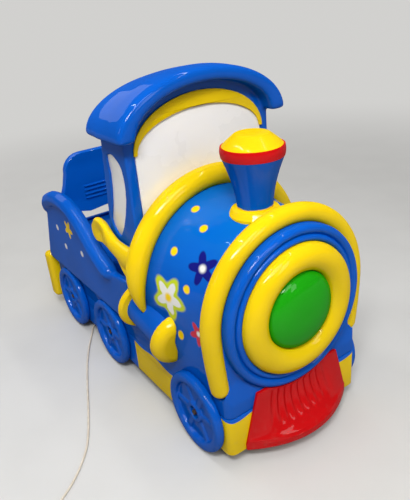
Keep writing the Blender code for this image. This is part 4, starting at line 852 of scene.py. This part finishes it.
z_forward = Matrix(((0, 0, 1), (1, 0, 0), (0, 1, 0))).to_4x4()
nose_place = Matrix.Translation((0, 0, BARREL_AXIS)) @ z_forward
inner, groove = DOOR_RADIUS + GAP, DOOR_RADIUS + GROOVE_SHARE * (RING_RADIUS - DOOR_RADIUS)
ring_profile = [(inner, RING_BACK)] + bead(inner, groove, RING_FRONT - INNER_BEAD, RING_FRONT)
ring_profile += bead(groove, RING_RADIUS, RING_FRONT - OUTER_BEAD, RING_FRONT)[1:]
ring_profile += [(RING_RADIUS, RING_BACK), (inner, RING_BACK)]
beads = turned("smokebox_beads", ring_profile, nose_place, 144)
settle(beads, blue_gelcoat, "ride_body", "blue_gelcoat", "smokebox_ring")
hole = LENS_RADIUS + GAP
door_profile = [(hole, RING_BACK), (hole, RING_FRONT)]
door_profile += bead(hole, DOOR_RADIUS, RING_FRONT, DOOR_FRONT, 20)[1:]
door_profile += [(DOOR_RADIUS, RING_BACK), (hole, RING_BACK)]
door = turned("door_torus", door_profile, nose_place, 144)
settle(door, yellow_gelcoat, "ride_body", "yellow_gelcoat", "door_ring")
LENS_RISE = LENS_FRONT - RING_FRONT
dome = [(LENS_RADIUS * math.sin(a), RING_FRONT + LENS_RISE * math.cos(a)) for a in angles(0, 91, 5)]
lens_profile = [(0.0, LENS_FRONT)] + dome[1:] + [(LENS_RADIUS, RING_BACK), (0.0, RING_BACK)]
lens = turned("lens_dome", lens_profile, nose_place, 96)
settle(lens, green_lens, "ride_body", "green_lens", "lamp_lens")

# %% [markdown]
# ## Hoops
# A fat yellow hoop stands round the smokebox on two legs that sink into its sides, and a rear one thins out
# against the barrel. A torus primitive can't stop or taper, so each is a rod along a path. The rear one
# waits for its sills.

# %% Hoops
front_low, front_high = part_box("front_hoop")
rear_low, rear_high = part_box("rear_hoop")
FRONT_TUBE = (front_high.x - front_low.x) / 2
FRONT_REACH = front_high.z - BARREL_AXIS - FRONT_TUBE
REAR_TUBE = (rear_high.x - rear_low.x) / 2
REAR_REACH = rear_high.z - BARREL_AXIS - REAR_TUBE
LEG_DROP, LEG_TUCK, LEG_TAPER, LEG_STEPS = 0.174, 0.014, 0.05, 24
REAR_DROP, REAR_TAPER, REAR_TIP = 13.0, 24.0, 0.006


def rear_thickness(above_level):
    share = min(1.0, max(0.0, (above_level + REAR_DROP) / (REAR_TAPER + REAR_DROP)))
    return REAR_TIP + (REAR_TUBE - REAR_TIP) * math.sin(share * math.pi / 2)


def upright(x, reach, angle, thick, full):
    turn = math.radians(angle)
    return (x, reach * math.cos(turn), BARREL_AXIS + reach * math.sin(turn), thick / full)


front_x, rear_x = (front_low.x + front_high.x) / 2, (rear_low.x + rear_high.x) / 2
leg = []
for step in range(LEG_STEPS):
    share = 1 - step / LEG_STEPS
    leg_y, leg_z = FRONT_REACH - LEG_TUCK * share ** 1.6, BARREL_AXIS - LEG_DROP * share
    leg.append((front_x, leg_y, leg_z, 1 - LEG_TAPER * share ** 3))
front_path = leg + [upright(front_x, FRONT_REACH, angle, 1, 1) for angle in range(0, 181, 2)]
front_path += [(x, -y, z, share) for x, y, z, share in leg[::-1]]
front_hoop = rod("front_hoop_bar", front_path, FRONT_TUBE)
settle(front_hoop, yellow_gelcoat, "ride_body", "yellow_gelcoat", "front_hoop", angle=60)
REAR_STEPS = 120
rear_path = []
for step in range(REAR_STEPS + 1):
    angle = -REAR_DROP + (180 + 2 * REAR_DROP) * step / REAR_STEPS
    thick = rear_thickness(min(angle, 180 - angle))
    rear_path.append(upright(rear_x, REAR_REACH - (REAR_TUBE - thick) / 2, angle, thick, REAR_TUBE))
print("hoops", round(FRONT_REACH, 4), "and", round(REAR_REACH, 4), "m from the barrel's axis")

# %% [markdown]
# ## Sills
# On each side a sill branches off the rear hoop, runs back along the foot of the cab wall and ends in an
# ear to hold on to. A join alone would leave creases, so the rods are melted into one moulding. The outer
# side of each ear is then pressed flat and hollowed, point by point.

# %% Sills
SILL_TUBE, SILL_FLAT, WALL_GAP, WEB_SET_BACK = 0.036, 0.62, 0.0003, 0.004
# x, z and share of the tube's radius
SILL_LINE = ((0.248, 0.562, 0.84), (0.215, 0.560, 1.06), (0.180, 0.556, 1.10), (0.140, 0.562, 0.97),
             (0.107, 0.567, 0.87), (0.080, 0.574, 0.87), (0.055, 0.582, 0.91), (0.030, 0.591, 1.00),
             (0.008, 0.598, 1.14), (-0.010, 0.597, 1.25), (-0.024, 0.588, 1.05))
WEB_LINE = ((0.236, 0.462, 0.50), (0.205, 0.488, 0.62), (0.170, 0.515, 0.66), (0.135, 0.545, 0.60))
sill_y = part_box("cab_side_left")[1].y + WALL_GAP + SILL_TUBE * SILL_FLAT
branches = []
for sign in (-1, 1):
    sill_path = [(x, sign * sill_y, z, share) for x, z, share in SILL_LINE]
    sill = rod("sill", sill_path, SILL_TUBE, (False, True))
    edit(sill)
    bpy.ops.transform.resize(value=(1, SILL_FLAT, 1), center_override=(0, sign * sill_y, 0))
    done()
    branches.append(sill)
    web_y = sign * (sill_y - WEB_SET_BACK)
    branches.append(rod("web", [(x, web_y, z, share) for x, z, share in WEB_LINE], SILL_TUBE))
rear_hoop = blended(rod("rear_hoop_and_sills", rear_path, REAR_TUBE), 0.0033, 14, *branches)
EAR_START, EAR_FULL, EAR_FACE, EAR_KEPT = 0.075, 0.030, sill_y + 0.0105, 0.08
EAR_X, EAR_Z, DISH_REACH, DISH_DEPTH = 0.002, 0.592, 0.034, 0.006
for vertex in rear_hoop.data.vertices:
    spot = vertex.co
    proud = abs(spot.y) - EAR_FACE
    if spot.x < EAR_START and proud > 0:
        share = min(1.0, (EAR_START - spot.x) / (EAR_START - EAR_FULL))
        dish = max(0.0, 1 - math.hypot(spot.x - EAR_X, spot.z - EAR_Z) / DISH_REACH)
        spot.y -= math.copysign(proud * (1 - EAR_KEPT) * share + DISH_DEPTH * dish, spot.y)
settle(rear_hoop, yellow_gelcoat, "ride_body", "yellow_gelcoat", "rear_hoop", "cab_sill_left",
       "cab_sill_right", angle=60)

# %% [markdown]
# ## Wheels
# Each wheel is a blue moulding with a rounded rim, a sunk web with six spokes and a hole at the hub where
# the axle's end shows. Its floor and the axle's end are dark reddish brown: partly rust, partly painted
# shade in the recess. One is turned, bevelled bars are melted into it as spokes, and it is copied to the
# other places.

# %% Wheels
wheel_low, wheel_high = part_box("front_wheel_right")
WHEEL_RADIUS = (wheel_high.z - wheel_low.z) / 2
WHEEL_WIDTH = wheel_high.y - wheel_low.y
BORE, HUB_HOLE, HUB_FLOOR = 0.0085, 0.0205, WHEEL_WIDTH - 0.022
WEB, HUB_FACE = WHEEL_WIDTH - 0.017, WHEEL_WIDTH - 0.006
SHOULDER_START, SHOULDER_IN, SHOULDER_UP = 0.014, 0.012, 0.0135
tread = [(WHEEL_RADIUS - 0.005, 0.0), (WHEEL_RADIUS - 0.0012, 0.003), (WHEEL_RADIUS, 0.008),
         (WHEEL_RADIUS, SHOULDER_START)]
tread += [(WHEEL_RADIUS - SHOULDER_IN + SHOULDER_IN * math.cos(a), SHOULDER_START + SHOULDER_UP * math.sin(a))
          for a in angles(15, 90, 15)]
RIM_SHAPE = ((0.014, 0.0002), (0.022, 0.0), (0.028, 0.002), (0.032, 0.006))  # in from the tread, and sunk
rim = [(WHEEL_RADIUS - inset, WHEEL_WIDTH - sunk) for inset, sunk in RIM_SHAPE]
rim += [(WHEEL_RADIUS - 0.034, WEB + 0.002), (WHEEL_RADIUS - 0.036, WEB)]
hub = [(0.040, WEB), (0.036, WEB + 0.002), (0.033, HUB_FACE - 0.001), (0.030, HUB_FACE),
       (HUB_HOLE + 0.002, HUB_FACE), (HUB_HOLE, HUB_FACE - 0.002), (HUB_HOLE, HUB_FLOOR), (BORE, HUB_FLOOR)]
wheel_profile = [(BORE, 0.0)] + tread + rim + hub + [(BORE, 0.0)]
first_wheel = turned("front_wheel_right_moulding", wheel_profile, Matrix.Identity(4), 96)
SPOKES, SPOKE_SIZE, SPOKE_ROUND = 6, (WHEEL_RADIUS - 0.058, 0.024, 0.014), 0.0060
spoke_place = ((WHEEL_RADIUS - 0.006) / 2, 0, WEB - 0.0010)
bars = []
for spoke in range(SPOKES):
    bar = block("bar", SPOKE_SIZE, spoke_place)
    apply_modifier(bar, "BEVEL", width=SPOKE_ROUND, segments=5)
    bar.rotation_euler.z = math.radians(360 / SPOKES * spoke)
    bars.append(bar)
blended(first_wheel, 0.0022, 3, *bars)
DARK_HOLE_EDGE = 0.0012
outward = Matrix.Rotation(math.radians(90), 4, "X")
for axle in AXLES:
    for side, turn in (("right", 0), ("left", 180)):
        node = axle + "_wheel_" + side
        low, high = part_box(node)
        inner_y = high.y if side == "right" else low.y
        wheel = bpy.data.objects.new(node + "_spoked", first_wheel.data.copy())
        bpy.context.scene.collection.objects.link(wheel)
        spot = Matrix.Translation(((low.x + high.x) / 2, inner_y, (low.z + high.z) / 2))
        wheel.data.transform(spot @ Matrix.Rotation(math.radians(turn), 4, "Z") @ outward)
        settle(wheel, blue_gelcoat, node, "blue_gelcoat", node)
        # the hole's floor takes the dark finish: rust on the bush, and painted shade in the recess
        wheel.data.materials.append(rust_and_shade_steel)
        for face in wheel.data.polygons:
            aside = face.center - spot.translation
            face.material_index = int(math.hypot(aside.x, aside.z) < HUB_HOLE - DARK_HOLE_EDGE)
bpy.data.objects.remove(first_wheel)

# %% [markdown]
# ## Cow-catcher
# The red scoop swells towards its lip, with shallow flutes that fan out over its upper middle. A grid takes
# its shape point by point from two shares, across and down, which is simpler than bending a flat sheet by
# hand.

# %% Cow-catcher
scoop_low, scoop_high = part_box("cow_catcher")
SCOOP_TOP_HALF, SCOOP_TOP_Z, SCOOP_LIP, SCOOP_TOP_THICK, SCOOP_ROUND = 0.159, 0.240, 0.020, 0.010, 0.004
FLUTES, FLUTE_SPAN, FLUTE_END, FLUTE_DEPTH = 9, 0.70, 0.76, 0.0075
LIP_BEAD, LIP_PLACE, LIP_WIDTH, LIP_TURN = 0.0035, 0.93, 0.035, 0.15
SCOOP_ARC = RING_RADIUS + 0.001


def scoop_point(span, down):
    top_y, lip_y = span * SCOOP_TOP_HALF, span * scoop_high.y
    top_z = min(SCOOP_TOP_Z, BARREL_AXIS - math.sqrt(SCOOP_ARC ** 2 - top_y ** 2))
    swell = (scoop_high.x - scoop_low.x - SCOOP_TOP_THICK) * (1 - span ** 2)
    lip_z = scoop_low.z + SCOOP_LIP
    x = scoop_low.x + SCOOP_TOP_THICK + swell * min(1.0, down) ** 2.2
    along = max(0.0, math.sin(math.pi * min(1.0, down / FLUTE_END))) ** 0.6
    reach = max(0.0, 1 - (abs(span) / FLUTE_SPAN) ** 6) * along
    x -= FLUTE_DEPTH * (0.5 - 0.5 * math.cos(math.pi * FLUTES * (span / FLUTE_SPAN + 1))) * reach
    x += LIP_BEAD * (math.exp(-((down - LIP_PLACE) / LIP_WIDTH) ** 2) - 1) * min(1.0, down) ** 2
    z = top_z + (lip_z - top_z) * min(1.0, down) - SCOOP_LIP * max(0.0, down - 1) / LIP_TURN
    return Vector((x, top_y + (lip_y - top_y) * min(1.0, down), z))


select_only()
bpy.ops.mesh.primitive_grid_add(x_subdivisions=180, y_subdivisions=46, size=2)
scoop = bpy.context.object
scoop.name = "cow_catcher_scoop"
for vertex in scoop.data.vertices:
    vertex.co = scoop_point(vertex.co.x, (1 - vertex.co.y) / 2 * (1 + LIP_TURN))
edit(scoop)
# the back of the scoop is a copy of its front, pressed flat against the smokebox
bpy.ops.mesh.extrude_region_move(TRANSFORM_OT_translate={"value": (-0.2, 0, 0)})
bpy.ops.transform.resize(value=(0, 1, 1), center_override=(scoop_low.x, 0, 0))
done_outward()
soften(scoop, SCOOP_ROUND, 3, 50)
settle(scoop, red_gelcoat, "ride_body", "red_gelcoat", "cow_catcher")

# %% [markdown]
# ## Chimney top
# A red band with a round belly and a low yellow crown close the chimney. Both are turned, because bevelled
# cylinders would have flat sides.

# %% Chimney top
band_low, band_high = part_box("chimney_band")
cap_low, cap_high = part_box("chimney_cap")
STACK_X = (band_low.x + band_high.x) / 2
BAND_RADIUS = (band_high.x - band_low.x) / 2
CAP_RADIUS = (cap_high.x - cap_low.x) / 2
band_height, cap_height = band_high.z - band_low.z, cap_high.z - cap_low.z
BELLY = 0.0035
belly = [(BAND_RADIUS - BELLY + BELLY * math.sin(math.pi * (0.15 + 0.75 * t)), band_high.z - band_height * t)
         for t in (i / 12 for i in range(13))]
stack_place = Matrix.Translation((STACK_X, 0, 0))
band = turned("chimney_band_belly", [(0.0, band_high.z)] + belly + [(0.0, band_low.z)], stack_place)
settle(band, red_gelcoat, "ride_body", "red_gelcoat", "chimney_band")
CROWN, SHOULDER = 0.60 * CAP_RADIUS, 0.004
slope = [(CROWN + (CAP_RADIUS - CROWN) * (1 - t ** 1.15), cap_low.z + (cap_height - SHOULDER) * t)
         for t in (1, 0.9, 0.75, 0.5, 0.25, 0.1, 0)]
CROWN_EDGE = ((0.020, 0.0004), (0.009, 0.0009), (0.004, 0.0017), (0.001, 0.0030))
crown = [(0.0, cap_high.z)] + [(CROWN - inset, cap_high.z - sunk) for inset, sunk in CROWN_EDGE]
cap = turned("chimney_crown", crown + slope + [(0.0, cap_low.z)], stack_place)
settle(cap, yellow_gelcoat, "ride_body", "yellow_gelcoat", "chimney_cap")

# %% [markdown]
# ## Steering wheel and start button
# The wheel leans towards the child: a round rim, three spokes and a domed hub on a short column. The button
# is a green mushroom in the dashboard. Both ride on bodies of their own.

# %% Steering wheel and start button
LEAN = Vector((-0.894427, 0, 0.447214))
DASH_MIDDLE, DASH_GAP, BUTTON_SIDE = Vector((0.1103, 0, 0.658)), 0.0003, -0.160
lean_turn = Vector((0, 0, 1)).rotation_difference(LEAN).to_matrix().to_4x4()
column_place = Matrix.Translation(DASH_MIDDLE + LEAN * DASH_GAP) @ lean_turn
COLUMN, STEER_RADIUS, STEER_TUBE = 0.090, 0.100, 0.011
STEER_ARMS, ARM_START, ARM_TUBE = 3, 0.020, 0.0077
HUB_SHAPE = ((0.0, 0.011), (0.012, 0.0105), (0.022, 0.008), (0.030, 0.002), (0.030, -0.009), (0.028, -0.011),
             (0.014, -0.011))
column = [(radius, COLUMN + height) for radius, height in HUB_SHAPE] + [(0.014, 0.0), (0.0, 0.0)]
steering = turned("steering_rim", column, column_place, 48)
for index in range(STEER_ARMS):
    turn = math.radians(180 + 360 / STEER_ARMS * index)
    spoke_path = [(*(column_place @ Vector((math.cos(turn) * r, math.sin(turn) * r, COLUMN))), 1.0)
                  for r in (ARM_START, STEER_RADIUS)]
    unite(steering, rod("spoke_arm", spoke_path, ARM_TUBE, (False, False), 4))
rim_profile = [(STEER_RADIUS + STEER_TUBE * math.cos(a), COLUMN + STEER_TUBE * math.sin(a))
               for a in angles(0, 361, 20)]
unite(steering, turned("rim_ring", rim_profile, column_place, 72))
settle(steering, yellow_gelcoat, "steering_wheel", "yellow_gelcoat", "steering_wheel")
button_place = Matrix.Translation(DASH_MIDDLE + Vector((0, BUTTON_SIDE, 0))) @ lean_turn
mushroom = [(0.0, 0.014), (0.008, 0.0136), (0.0135, 0.0122), (0.0170, 0.0090), (0.018, 0.0050),
            (0.018, -0.0045), (0.0115, -0.011), (0.0, -0.011)]
button = turned("start_mushroom", mushroom, button_place, 48)
settle(button, green_lens, "start_button", "green_lens", "start_button")
